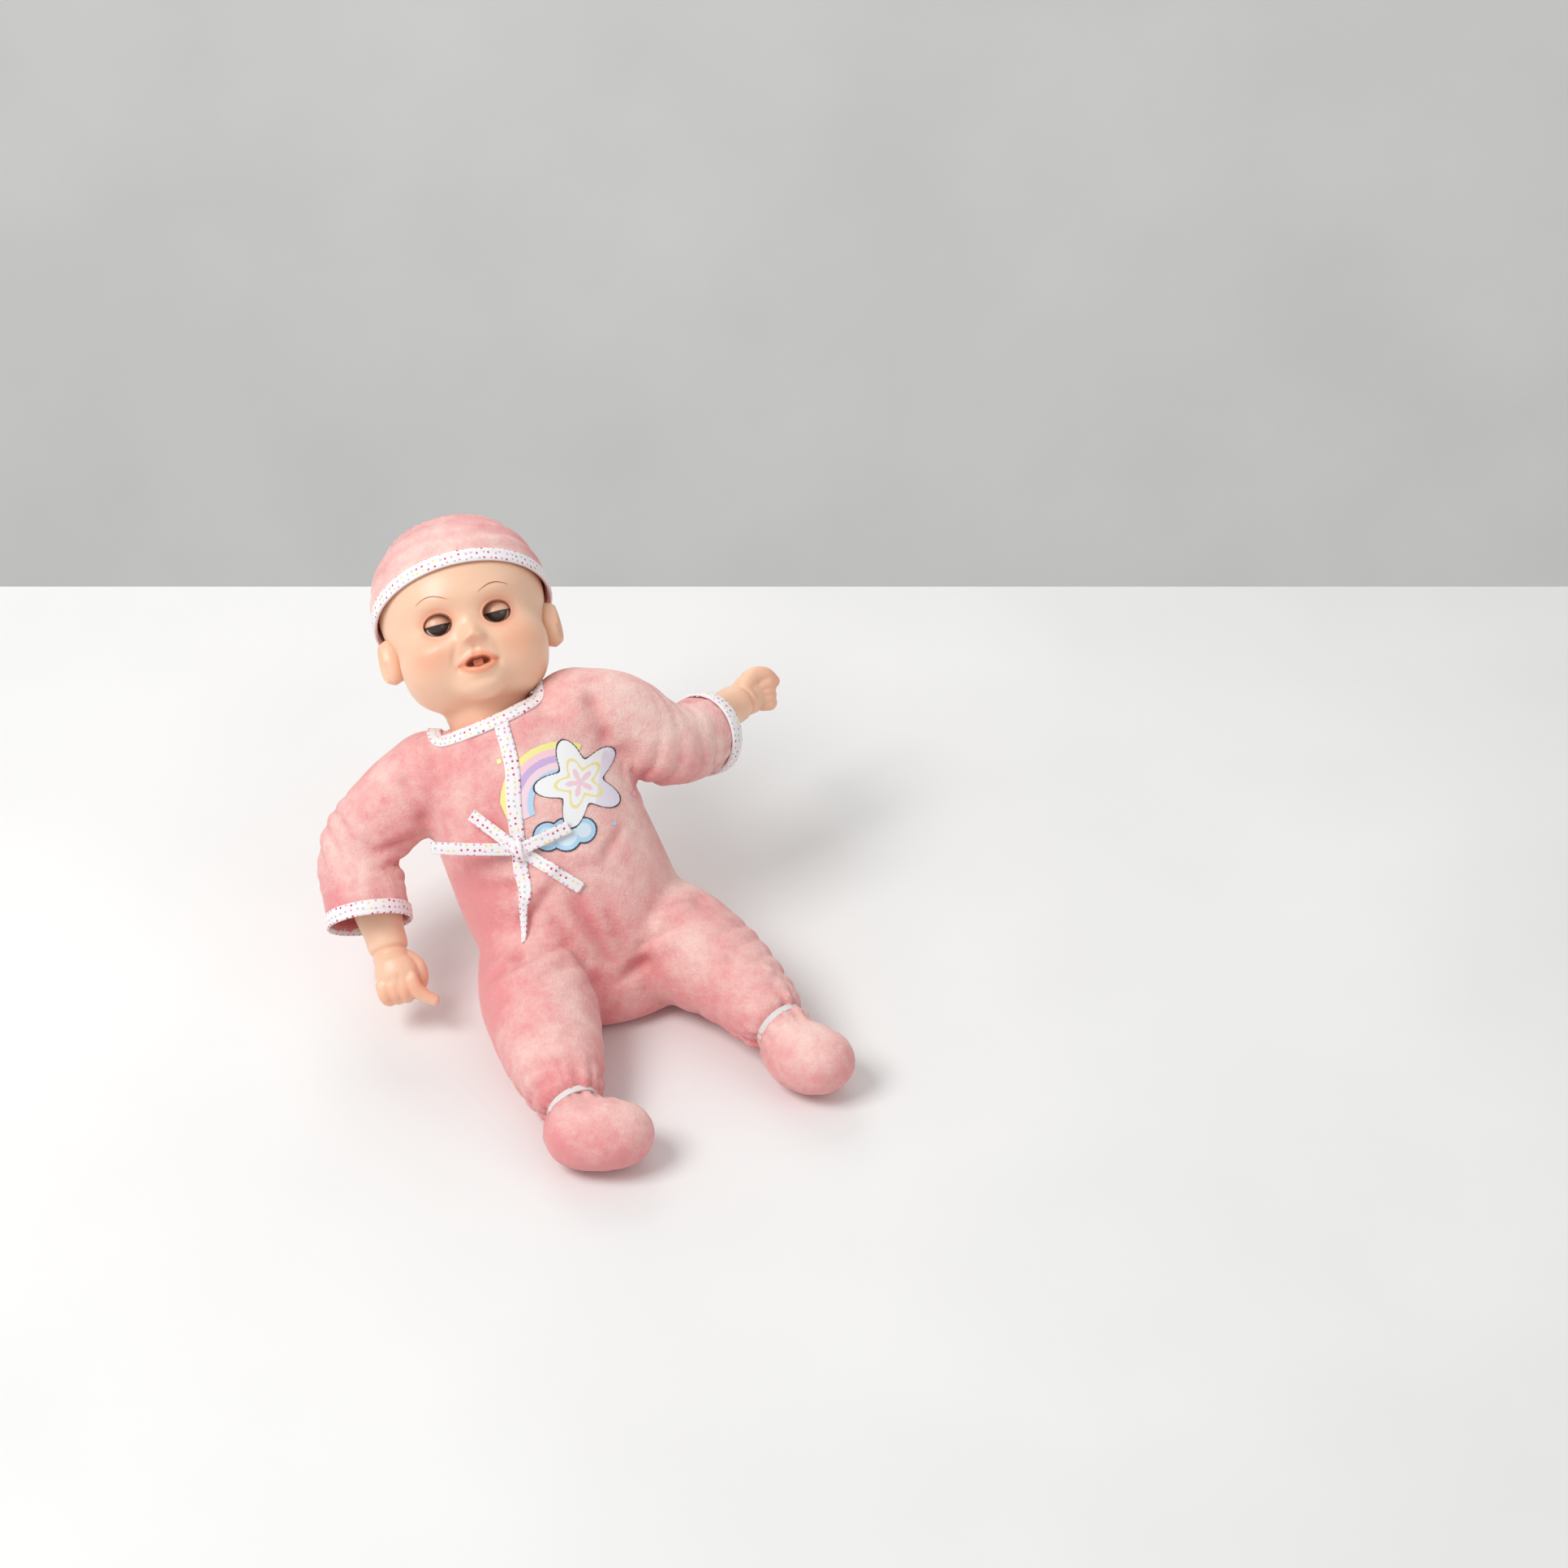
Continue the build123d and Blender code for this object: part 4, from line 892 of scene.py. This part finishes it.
def earForm(name, side):
    rings, around = 26, 56
    points, faces = [], []
    for i in range(rings):
        r = i / (rings - 1)
        for k in range(around):
            a = 2 * math.pi * k / around
            y = math.cos(a) * 9.0 * r * (1 - 0.12 * math.sin(a))
            z = math.sin(a) * 14.0 * r
            rim = math.exp(-((r - 0.80) / 0.13) ** 2) * (
                2.6 if math.cos(a) > -0.55 or math.sin(a) > 0 else 1.2
            )
            bowl = -2.6 * math.exp(-((y + 1.5) / 4.2) ** 2 - ((z + 1) / 6.0) ** 2)
            fold = 1.3 * math.exp(-((y - 1.0) / 1.7) ** 2 - ((z - 3.0) / 5.5) ** 2)
            height = 3.4 * math.sqrt(max(0.0, 1 - r**4)) + rim + bowl + fold
            points.append((side * (height - 1.0 + max(0, y) * 0.30), y + 1.0, z))
    for i in range(rings - 1):
        for k in range(around):
            n = (k + 1) % around
            quad = (i * around + k, i * around + n, (i + 1) * around + n, (i + 1) * around + k)
            faces.append(quad)
    base = len(points)
    for k in range(around):
        a = 2 * math.pi * k / around
        points.append((side * -7.0, math.cos(a) * 7.5 + 0.5, math.sin(a) * 12))
    for k in range(around):
        n = (k + 1) % around
        faces.append(((rings - 1) * around + k, (rings - 1) * around + n, base + n, base + k))
    faces.append(tuple(range(base, base + around)))
    shifted = np.array(points) + np.array((side * 50.5, -2, 44))
    piece = newMesh(name, head.world(shifted), faces)
    tidyNormals(piece)
    local = head.local(readPoints(piece))
    # painted shade in the ear bowl, tinted like blush
    values = np.exp(-(((local[:, 1] + 3.0) / 4.2) ** 2 + ((local[:, 2] - 43.5) / 6.5) ** 2)) * 0.7
    floatAttribute(piece, "blushAndPaintedShade", values)
    return piece


def makeHead():
    points, faces = headForm()
    points = sculptFace(points)
    x, y, z = points.T
    blushAndPaintedShade = np.zeros(len(points))
    for s in (-1, 1):
        blushAndPaintedShade += 0.36 * hump(points, (s * 27, -40, 38), (13, 16, 11))
        blushAndPaintedShade += 0.16 * hump(points, (s * 18, -40, 64), (12, 16, 5))
    top, line, bottom, share = lipEdges(x)
    edge = np.minimum(top + 0.6 - z, z - bottom + 0.6)
    blushAndPaintedShade += np.clip(edge / 1.6, 0, 1) * (y < -20) * np.clip(share * 3, 0, 1) * 0.62
    paintedOpeningShade = np.zeros(len(points))
    for s in (-1, 1):
        oval = np.sqrt(
            ((x - s * face["eye"][0]) / face["eyeOpening"][0]) ** 2
            + ((z - face["eye"][1]) / face["eyeOpening"][1]) ** 2
        )
        # painted shade at the edge of each eye opening
        paintedOpeningShade += np.exp(-((oval - 1.0) / 0.10) ** 2) * (y < -20) * 0.8
        # painted shade as a warm ring around each eye opening
        blushAndPaintedShade += 0.35 * np.exp(-((oval - 1.25) / 0.28) ** 2) * (y < -20)
    # painted shade inside the mouth opening
    paintedOpeningShade += 0.75 / (1 + np.exp(-(1 - np.sqrt((x / 6.8) ** 2 + ((z - line - 0.6) / 2.7) ** 2)) * 16)) * (y < -20)
    blushAndPaintedShade += 0.25 * hump(points, (0, -55, 42), (7, 10, 4))
    piece = newMesh("headShell", head.world(points), faces)
    floatAttribute(piece, "blushAndPaintedShade", np.clip(blushAndPaintedShade, 0, 1))
    floatAttribute(piece, "paintedOpeningShade", np.clip(paintedOpeningShade, 0, 1))
    smooth(piece)
    return piece


skinVinyl = vinyl("peachVinyl")
headShell = makeHead()
dress(headShell, skinVinyl)
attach(headShell, "head")
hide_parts("head_shell", "right_eye_socket", "left_eye_socket")
headTree = treeOf(headShell)
for name, side in sides.items():
    ear = earForm(f"{name}Ear", side)
    dress(ear, skinVinyl)
    smooth(ear)
    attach(ear, "head")
print("head", len(headShell.data.vertices))


# eyes

def eyePart(name, centre, radius, keep, pose=head):
    bpy.ops.mesh.primitive_uv_sphere_add(segments=96, ring_count=64, radius=radius, location=(0, 0, 0))
    piece = bpy.context.object
    piece.name = name
    mesh = bmesh.new()
    mesh.from_mesh(piece.data)
    bmesh.ops.delete(mesh, geom=[f for f in mesh.faces if not keep(f.calc_center_median())], context="FACES")
    mesh.to_mesh(piece.data)
    mesh.free()
    writePoints(piece, readPoints(piece) @ np.array([pose.x, pose.y, pose.z]) * mm + np.array(centre))
    smooth(piece)
    return piece


eyeLook = dict(radius=8.2, lidRadius=8.8, lidEdge=0.2, irisSize=6.4, shell=0.0002)
eyeWhite = plain("eyeWhite", colour(0.75, 0.70, 0.66), 0.2, coat=0.4)
irisDark = plain("irisDark", colour(0.035, 0.025, 0.022), 0.05, coat=1.0)
lidSkin = plain("lidSkin", colour(0.90, 0.52, 0.36), 0.38, coat=0.12)
lash = plain("lashLine", colour(0.10, 0.045, 0.03), 0.5)
for name, side in sides.items():
    centre = jointPoint(f"{name}_eye_tilt")
    size = eyeLook["irisSize"]
    white = eyePart(f"{name}EyeWhite", centre, eyeLook["radius"], lambda c: True)
    iris = eyePart(
        f"{name}EyeIris", centre, eyeLook["radius"] + 0.25,
        lambda c: c.y < 0 and c.x**2 + (c.z - 0.5) ** 2 < size**2,
    )
    lid = eyePart(
        f"{name}EyeLid", centre, eyeLook["lidRadius"],
        lambda c: c.z > eyeLook["lidEdge"] + abs(c.x) * -0.06,
    )
    edge = eyePart(
        f"{name}LashLine", centre, eyeLook["lidRadius"] + 0.08,
        lambda c: c.y < 0 and -0.75 < c.z - eyeLook["lidEdge"] < 0.15,
    )
    for piece, look in ((white, eyeWhite), (iris, irisDark), (lid, lidSkin), (edge, lash)):
        dress(piece, look)
        if piece is not white:
            applyModifier(piece, "SOLIDIFY", thickness=eyeLook["shell"], offset=-1)
        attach(piece, f"{name}_eye")
    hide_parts(f"{name}_eyeball")
    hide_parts(f"{name}_iris")
    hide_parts(f"{name}_eyelid")
print("eyes")


# hands: bare vinyl forearms and fists, the right with one finger out

fists = dict(
    steps={"right": (1, -62, -54), "left": (76, 50, -14)},
    thumbWay={"right": (0.934, -0.198, 0.239), "left": (-0.2, 0.1, 1.0)},
    voxel=0.0008, armRadii=[12, 12.5, 14.5, 14.5, 12.2, 11.2], fingerRadius=4.5,
)


def makeHand(name):
    reach = Vector(fists["steps"][name])
    length = reach.length
    along = reach.normalized()
    thumb = Vector(fists["thumbWay"][name])
    thumb = (thumb - along * thumb.dot(along)).normalized()
    palmWay = along.cross(thumb) if name == "left" else thumb.cross(along)
    hand = Pose(elbow[name] + reach * mm, along, thumb, -palmWay)
    at = hand.at
    fore = [at(-length + 14, 0, 0), at(-length * 0.55, 0, 0.5), at(-13, 0, 0)]
    parts = [limb(f"{name}Fore", fore, fists["armRadii"], count=30)]
    parts.append(ball(f"{name}Palm", at(-2, 0.5, 1), (14.5, 13.5, 11), hand))
    radius = fists["fingerRadius"]
    for k in range(4):
        off = 8.6 - 5.9 * k
        base = at(5 - abs(k - 1.2) * 0.8, off, 6)
        if name == "right" and k == 0:
            bend = [base, at(11, off + 1, 4), at(16, off + 4.5, 2), at(20.5, off + 9, 0)]
            parts.append(limb(f"{name}Finger{k}", bend, [radius, 4.6, 4.2, 3.7], thumb, count=20, around=20))
            continue
        bend = [
            base, at(11.5 - k * 0.5, off * 0.97, 4), at(13 - k * 0.6, off * 0.9, -4),
            at(6, off * 0.85, -9), at(1, off * 0.8, -7),
        ]
        parts.append(limb(f"{name}Finger{k}", bend, [radius, 4.7, 4.6, 4.3, 3.8], thumb, count=26, around=20))
    fold = [at(-9, 9, -1), at(-2, 13.5, -3), at(6, 12, -7), at(11, 6, -9.5)]
    parts.append(limb(f"{name}Thumb", fold, [5.5, 5.2, 4.8, 4.2], along, count=22, around=20))
    piece = join(f"{name}Hand", parts)
    applyModifier(piece, "REMESH", mode="VOXEL", voxel_size=fists["voxel"])
    applyModifier(piece, "SMOOTH", factor=0.5, iterations=3)
    points, normals = readPoints(piece), readNormals(piece)
    local = hand.local(points)
    crease = -1.3 * np.exp(-((local[:, 0] + 15.5 + local[:, 2] * 0.12) / 1.5) ** 2)
    crease += 0.7 * np.exp(-((local[:, 0] + 21) / 5) ** 2)
    for k in range(4):
        spot = np.array((2.5, 8.6 - 5.9 * k, 12))
        crease -= 0.9 * np.exp(-(((local - spot) / (2.6, 2.2, 6)) ** 2).sum(axis=1))
    writePoints(piece, points + normals * crease[:, None] * mm)
    # blush over the knuckles; the band at the wrist crease is painted shade; a little more on the palm side
    blushAndPaintedShade = 0.30 * np.exp(-((local[:, 0] - 12) / 7) ** 2) + 0.18 * np.exp(-((local[:, 0] + 15.5) / 2.5) ** 2)
    floatAttribute(piece, "blushAndPaintedShade", np.clip(blushAndPaintedShade + (local[:, 2] < -5) * 0.10, 0, 1))
    smooth(piece)
    dress(piece, skinVinyl)
    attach(piece, f"{name}_hand")
    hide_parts(f"{name}_forearm")


for name in sides:
    makeHand(name)
print("hands")


# cap: velour dome with soft folds, pulled back over the crown

crown = head.at(0, 5, 70)
capLook = dict(radius=54.2, tilt=29, skirt=8.0, thickness=1.2, bindingWidth=9.0)
capLean = math.radians(capLook["tilt"])
capUp = (head.z * math.cos(capLean) + head.y * math.sin(capLean)).normalized()
capPose = Pose(crown, head.x, capUp.cross(head.x), capUp)


def makeCap():
    across, rings = 240, 110
    turn = np.linspace(0, 2 * math.pi, across, endpoint=False)
    points, faces = [capPose.at(0, 0, capLook["radius"] - 1.5)], []
    for i in range(1, rings):
        t = i / (rings - 1) * (math.pi / 2 + capLook["skirt"] / capLook["radius"])
        for a in turn:
            flat = min(t, math.pi / 2)
            height = math.cos(flat) - max(0, t - math.pi / 2)
            place = np.array((math.sin(flat) * math.cos(a), math.sin(flat) * math.sin(a), height)) * capLook["radius"]
            points.append(capPose.at(*place))
    for k in range(across):
        faces.append((0, 1 + k, 1 + (k + 1) % across))
    for i in range(rings - 2):
        for k in range(across):
            n = (k + 1) % across
            a, b = 1 + i * across, 1 + (i + 1) * across
            faces.append((a + k, b + k, b + n, a + n))
    piece = newMesh("capVelour", points, faces)
    tidyNormals(piece)
    points, normals = readPoints(piece), readNormals(piece)
    local = capPose.local(points)
    x, y, z = local.T
    fade = np.clip((z + 2) / 10, 0, 1)
    band = np.sin(z * 0.42 + np.sin(x * 0.07 + 1) * 1.3 + y * 0.05)
    move = fade * (waves(points, 0.02, 21) * 0.7 + band * 0.45)
    seam = -1.1 * np.exp(-((np.hypot(x, y) - 33 - 2 * np.sin(np.arctan2(y, x) * 3)) / 1.3) ** 2) * (z > 20)
    pucker = 0.5 * np.sin(np.arctan2(y, x) * 40) * np.exp(-((np.hypot(x, y) - 36) / 5) ** 2) * (z > 20)
    writePoints(piece, points + normals * (move + seam + pucker)[:, None] * mm)
    # painted shade in the crown seam groove and the band valleys
    floatAttribute(piece, "fold", np.clip(-seam * 0.4 + np.clip(-band, 0, 1) * 0.12 * fade, 0, 1))
    # painted highlight: upward-facing cap cloth is made paler by its normal, mixed with random nap patches
    shade = readNormals(piece)[:, 2] * 0.25 + 0.42 + waves(points, 0.03, 8) * 0.22
    floatAttribute(piece, "napAndPaintedTopLight", np.clip(shade, 0, 1))
    applyModifier(piece, "SOLIDIFY", thickness=capLook["thickness"] * mm, offset=-1)
    smooth(piece)
    dress(piece, pink)
    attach(piece, "cap")
    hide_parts("cap")
    return piece


capPiece = makeCap()


# printed tapes: neckline, wrap edge, cuffs, cap edge, and the bow

tapePrint = tape("dottedTape")


def tapeStrip(name, path, outs, width, thick=0.9, closed=False, lengthwise=None, tips=(1, 1)):
    path, outs = np.array(path), np.array(outs)
    count = len(path)
    if lengthwise is None:
        lengthwise = np.gradient(path, axis=0)
        if closed:
            lengthwise = np.roll(path, -1, axis=0) - np.roll(path, 1, axis=0)
    outs = outs / np.linalg.norm(outs, axis=1)[:, None]
    sideways = np.cross(outs, lengthwise)
    sideways /= np.linalg.norm(sideways, axis=1)[:, None]
    half = width / 2
    profile = [(-half, -0.4), (-half, thick * 0.6), (-half * 0.9, thick), (-half * 0.5, thick * 1.1), (0, thick * 1.1),
               (half * 0.5, thick * 1.1), (half * 0.9, thick), (half, thick * 0.6), (half, -0.4)]
    steps = np.linalg.norm(np.diff(path, axis=0), axis=1) / mm
    run = np.concatenate([[0], np.cumsum(steps)])
    points, spots, faces = [], [], []
    around = len(profile)
    for i in range(count):
        share = i / (count - 1)
        narrow = tips[0] + (tips[1] - tips[0]) * np.clip((share - 0.8) / 0.2, 0, 1) if tips[0] != tips[1] else 1
        for across, height in profile:
            points.append(path[i] + (sideways[i] * across * narrow + outs[i] * height) * mm)
            spots.append((run[i], across))
    last = count if closed else count - 1
    for i in range(last):
        j = (i + 1) % count
        for k in range(around):
            n = (k + 1) % around
            faces.append((i * around + k, i * around + n, j * around + n, j * around + k))
    if not closed:
        faces.append(tuple(range(around)))
        faces.append(tuple(reversed(range((count - 1) * around, count * around))))
    piece = newMesh(name, points, faces)
    layer = piece.data.uv_layers.new(name="tape")
    total = run[-1] + (np.linalg.norm(path[0] - path[-1]) / mm if closed else 0)
    for loop in piece.data.loops:
        u, v = spots[loop.vertex_index]
        layer.data[loop.index].uv = (u, v)
    if closed:
        for polygon in piece.data.polygons:
            rows = [v // around for v in polygon.vertices]
            if 0 in rows and count - 1 in rows:
                for index in polygon.loop_indices:
                    if piece.data.loops[index].vertex_index < around:
                        layer.data[index].uv[0] = total
    mesh = bmesh.new()
    mesh.from_mesh(piece.data)
    bmesh.ops.recalc_face_normals(mesh, faces=mesh.faces)
    mesh.to_mesh(piece.data)
    mesh.free()
    smooth(piece)
    dress(piece, tapePrint)
    return piece


def settle(tree, path, lift=0.0, closed=False):
    spots, outs = [], []
    for p in path:
        spot, out, _, _ = tree.find_nearest(Vector(p))
        spots.append(np.array(spot + out * lift * mm))
        outs.append(np.array(out))
    spots, outs = np.array(spots), np.array(outs)
    kernel = np.array([1, 2, 3, 2, 1]) / 9
    for _ in range(2):
        for values in (spots, outs):
            if closed:
                padded = np.vstack([values[-2:], values, values[:2]])
            else:
                padded = np.vstack([values[:1]] * 2 + [values] + [values[-1:]] * 2)
            values[:] = sum(kernel[k] * padded[k:k + len(values)] for k in range(5))
    return spots, outs


def ringPath(pose, radiusX, radiusY, height, count=160):
    turn = np.linspace(0, 2 * math.pi, count, endpoint=False)
    return [pose.at(math.cos(a) * radiusX, math.sin(a) * radiusY, height) for a in turn]


def makeRing(name, pose, radiusX, radiusY, height, width, upright):
    path = ringPath(pose, radiusX, radiusY, height)
    middle = pose.at(0, 0, height)
    outs = [np.array((Vector(p) - middle).normalized() * upright + pose.z * (1 - upright)) for p in path]
    return tapeStrip(name, path, outs, width, 1.1, closed=True)


neckSpots, neckOuts = settle(skinTree, ringPath(torso, 37.5, 34.5, 150), 0.3, closed=True)
neckTape = tapeStrip("neckTape", neckSpots, neckOuts, 8.5, 1.1, closed=True)
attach(neckTape, "torso")
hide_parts("neck_binding")

frontCurve = curveThrough([
    torso.at(8, -34, 149), torso.at(6, -50, 134), torso.at(3, -54, 120), torso.at(-5, -54, 100),
    torso.at(-14, -54, 74), torso.at(-24, -54, 48), torso.at(-35, -50, 22),
], 90)
spots, outs = settle(skinTree, frontCurve, 0.2)
frontTape = tapeStrip("frontTape", spots, outs, 9.0, 1.1, tips=(1, 0.15))
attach(frontTape, "torso")
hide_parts("front_binding")

for name in sides:
    along = (cuff[name] - elbow[name]).normalized()
    first = along.orthogonal().normalized()
    pose = Pose(cuff[name], first, along.cross(first), along)
    cuffTape = makeRing(f"{name}CuffTape", pose, 25.2, 25.2, 1.0, 9.0, 1.0)
    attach(cuffTape, f"{name}_arm")
    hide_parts(f"{name}_cuff_binding")

capTape = makeRing("capTape", capPose, capLook["radius"] + 0.2, capLook["radius"] + 0.2, -capLook["skirt"] + 3.5, capLook["bindingWidth"], 1.0)
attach(capTape, "cap")
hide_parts("cap_binding")
print("tapes")


# bow: four flat ribbon ends and a wrapped knot at the front

bow = dict(
    knot=(-14, 74), turns=[155, 0, 120, -57], lengths=[52, 33, 35, 44], width=7.4, lift=[1.4, 2.4, 3.0, 1.4]
)


def makeBow():
    x, z = bow["knot"]
    knot, out, _, _ = skinTree.find_nearest(torso.at(x, -56, z))
    out = (out * 0.3 - torso.y * 0.7).normalized()
    pieces = []
    for k, (turn, length) in enumerate(zip(bow["turns"], bow["lengths"])):
        a = math.radians(turn)
        way = torso.x * math.cos(a) + torso.z * math.sin(a)
        path, outs = [], []
        for s in np.linspace(0, length, 40):
            free = knot + out * (3.2 + 2.2 * math.sin(s / length * 2.6 + k) - 0.0012 * s * s) * mm + way * s * mm
            near, facing, _, _ = skinTree.find_nearest(free)
            above = (free - near).dot(facing) / mm
            if above < bow["lift"][k]:
                free = near + facing * bow["lift"][k] * mm
            path.append(np.array(free))
            outs.append(np.array(out * 0.6 + facing * 0.4))
        pieces.append(tapeStrip(f"ribbon{k}", path, outs, bow["width"], 0.5))
    ribbons = join("bowRibbons", pieces)
    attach(ribbons, "torso")
    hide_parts("bow_ribbons")
    wraps = []
    side = torso.x.cross(out).normalized()
    for turn in (-18, 12):
        a = math.radians(turn)
        axis = (torso.x * math.cos(a) + side * math.sin(a)).normalized()
        other = out.cross(axis).normalized()
        path = [
            np.array(knot + (out * (2.6 + 3.1 * math.cos(t)) + other * 5.2 * math.sin(t)) * mm)
            for t in np.linspace(0, 2 * math.pi, 48, endpoint=False)
        ]
        outs = [
            np.array(out * math.cos(t) + other * math.sin(t))
            for t in np.linspace(0, 2 * math.pi, 48, endpoint=False)
        ]
        wraps.append(tapeStrip(f"wrap{turn}", path, outs, 7.0 if turn < 0 else 5.5, 1.0 if turn < 0 else 1.9, closed=True))
    core = ball("knotCore", knot + out * 2.6 * mm, (4.6, 2.9, 4.6), Pose(knot, torso.x, out, side))
    core.data.uv_layers.new(name="tape")
    dress(core, tapePrint)
    wraps.append(core)
    piece = join("bowKnot", wraps)
    smooth(piece)
    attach(piece, "torso")
    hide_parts("bow_knot")


makeBow()
print("bow")


# chest print: a star before a rainbow, pressed on as a thin film

printLook = dict(
    centre=(30, 98), scale=1.16, half=42.0, step=0.36, lift=0.35, outline=1.0,
    ink=(0.02, 0.02, 0.04), white=(0.95, 0.95, 0.96),
    bands=[
        (31, (0.93, 0.86, 0.32)), (27.5, (0.96, 0.62, 0.68)), (24, (0.62, 0.45, 0.75)),
        (20.5, (0.95, 0.70, 0.78)), (17, (0.50, 0.70, 0.90)),
    ],
    star=(5, -3, 24.0), cloud=[(-21, -21, 8), (-12, -24, 9), (-3, -26, 7)], blue=(0.45, 0.70, 0.90),
    dots=[(-28, 24, 1.5), (27, -22, 1.6), (12, -30, 1.3)],
)


def starDistance(u, v, radius):
    angle = np.arctan2(u, v)
    away = np.hypot(u, v)
    wedge = np.abs(((angle + math.pi / 5) % (2 * math.pi / 5)) - math.pi / 5)
    edge = radius * (0.80 + 0.20 * np.cos(wedge * 5)) * (1 - 0.12 * np.sin(wedge * 5 / 2) ** 2)
    return away - edge


def paintPrint(u, v):
    tint = np.zeros((len(u), 3)) - 1
    arc = np.hypot(u + 8, v + 8)
    angle = np.degrees(np.arctan2(v + 8, u + 8))
    for radius, hue in printLook["bands"]:
        tint[(arc < radius) & (angle > 45) & (angle < 200)] = hue
    tint[(arc < 13.5) & (angle > 45) & (angle < 200)] = -1
    ink, white = printLook["ink"], printLook["white"]
    cloud = np.min([np.hypot(u - a, v - b) - r for a, b, r in printLook["cloud"]], axis=0)
    tint[cloud < 0] = ink
    tint[cloud < -printLook["outline"]] = printLook["blue"]
    tint[cloud < -3.2] = (0.72, 0.86, 0.95)
    a, b, radius = printLook["star"]
    star = starDistance(u - a, v - b, radius)
    tint[star < 0] = ink
    tint[star < -printLook["outline"]] = white
    shade = (star < -printLook["outline"]) & ((u - a) * 0.8 - (v - b) * 0.5 > 9)
    tint[shade] = (0.84, 0.80, 0.92)
    inner = starDistance(u - a, v - b, radius * 0.52)
    tint[np.abs(inner) < 0.9] = (0.93, 0.80, 0.35)
    tint[inner < -5.0] = (0.96, 0.66, 0.72)
    for k, (a, b, r) in enumerate(printLook["dots"]):
        tint[np.hypot(u - a, v - b) < r] = [(0.93, 0.86, 0.32), (0.96, 0.5, 0.6), (0.5, 0.7, 0.9)][k % 3]
    return tint


def makePrint():
    half, step = printLook["half"], printLook["step"] * 1
    line = np.arange(-half, half, step)
    u, v = [g.ravel() for g in np.meshgrid(line, line)]
    tint = paintPrint(u / printLook["scale"], v / printLook["scale"])
    count = len(line)
    x, z = printLook["centre"]
    points = np.zeros((len(u), 3))
    way = torso.y
    for i in range(len(u)):
        if tint[i][0] < 0 and (i % 3):
            points[i] = torso.at(x + u[i], -60, z + v[i])
            continue
        start = torso.at(x + u[i], -75, z + v[i])
        hit, out, _, _ = skinTree.ray_cast(start, way, 0.09)
        if hit is None:
            hit, out, _, _ = skinTree.find_nearest(start)
        points[i] = hit - way * printLook["lift"] * mm + out * 0.15 * mm
    faces = []
    keep = tint[:, 0] >= 0
    for i in range(count - 1):
        for k in range(count - 1):
            a = i * count + k
            quad = (a, a + 1, a + count + 1, a + count)
            if all(keep[q] for q in quad):
                faces.append(quad)
    used = np.unique(np.array(faces).ravel())
    index = -np.ones(len(u), int)
    index[used] = np.arange(len(used))
    piece = newMesh("chestPrint", points[used], [tuple(index[list(f)]) for f in faces])
    colourAttribute(piece, "print", tint[used])
    smooth(piece)
    dress(piece, painted("printFilm", "print", 0.38))
    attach(piece, "torso")
    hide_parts("chest_print")


makePrint()
print("print")


# eyebrows: thin painted strokes on the vinyl

def makeBrows():
    strokes = []
    for side in (-1, 1):
        rows, faces = [], []
        for i, t in enumerate(np.linspace(0, 1, 40)):
            x = side * (9 + 19 * t)
            z = 69 + 5.2 * math.sin(t * 2.5) - 2.0 * t
            half = 0.55 * math.sin(min(1.0, t * 1.4 + 0.06) * math.pi / 2) * (1 - t * 0.75)
            for away in (-half, half):
                hit, out, _, _ = headTree.ray_cast(head.at(x, -90, z + away), head.y, 0.12)
                rows.append(hit + out * 0.00012)
            if i:
                faces.append((2 * i - 2, 2 * i - 1, 2 * i + 1, 2 * i))
        strokes.append(newMesh(f"brow{side}", rows, faces))
    piece = join("eyebrows", strokes)
    dress(piece, plain("browPaint", colour(0.42, 0.15, 0.06), 0.5))
    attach(piece, "head")


makeBrows()


# looks for the pieces carried over from the frame

whitePlastic = plain("whitePlastic", colour(0.85, 0.85, 0.84), 0.4)
greyPlastic = plain("greyPlastic", colour(0.55, 0.56, 0.58), 0.45)
darkPlastic = plain("darkPlastic", colour(0.03, 0.03, 0.035), 0.5)
board = plain("boardGreen", colour(0.02, 0.16, 0.06), 0.35)
steel = plain("steel", colour(0.6, 0.6, 0.58), 0.3, metallic=1.0)
cell = plain("cellWrap", colour(0.06, 0.12, 0.35), 0.3)
coral = plain("coralRubber", colour(0.93, 0.35, 0.22), 0.35)
wireCover = plain("wireCover", colour(0.7, 0.04, 0.03), 0.45)
webbing = plain("whiteWebbing", colour(0.82, 0.80, 0.78), 0.8)

carried = {
    "module_cover": webbing, "module_case": greyPlastic, "battery_door": whitePlastic,
    "module_screws": steel, "speaker": darkPlastic,
    "circuit_board": board, "batteries": cell, "battery_contacts": steel, "belly_button": coral,
    "button_dome": darkPlastic,
    "power_switch": darkPlastic, "switch_body": steel, "module_wire": wireCover,
    "neck_tie": whitePlastic, "mouth_switch": darkPlastic,
    "mouth_button": coral, "mouth_wire": wireCover,
}
for name in sides:
    carried[f"{name}_eye_weight"] = steel
    carried[f"{name}_arm_tie"] = whitePlastic
    carried[f"{name}_leg_tie"] = whitePlastic
    carried[f"{name}_ankle_elastic"] = webbing
for node, look in carried.items():
    dress(bpy.data.objects[node], look)
print("carried over", len(carried))
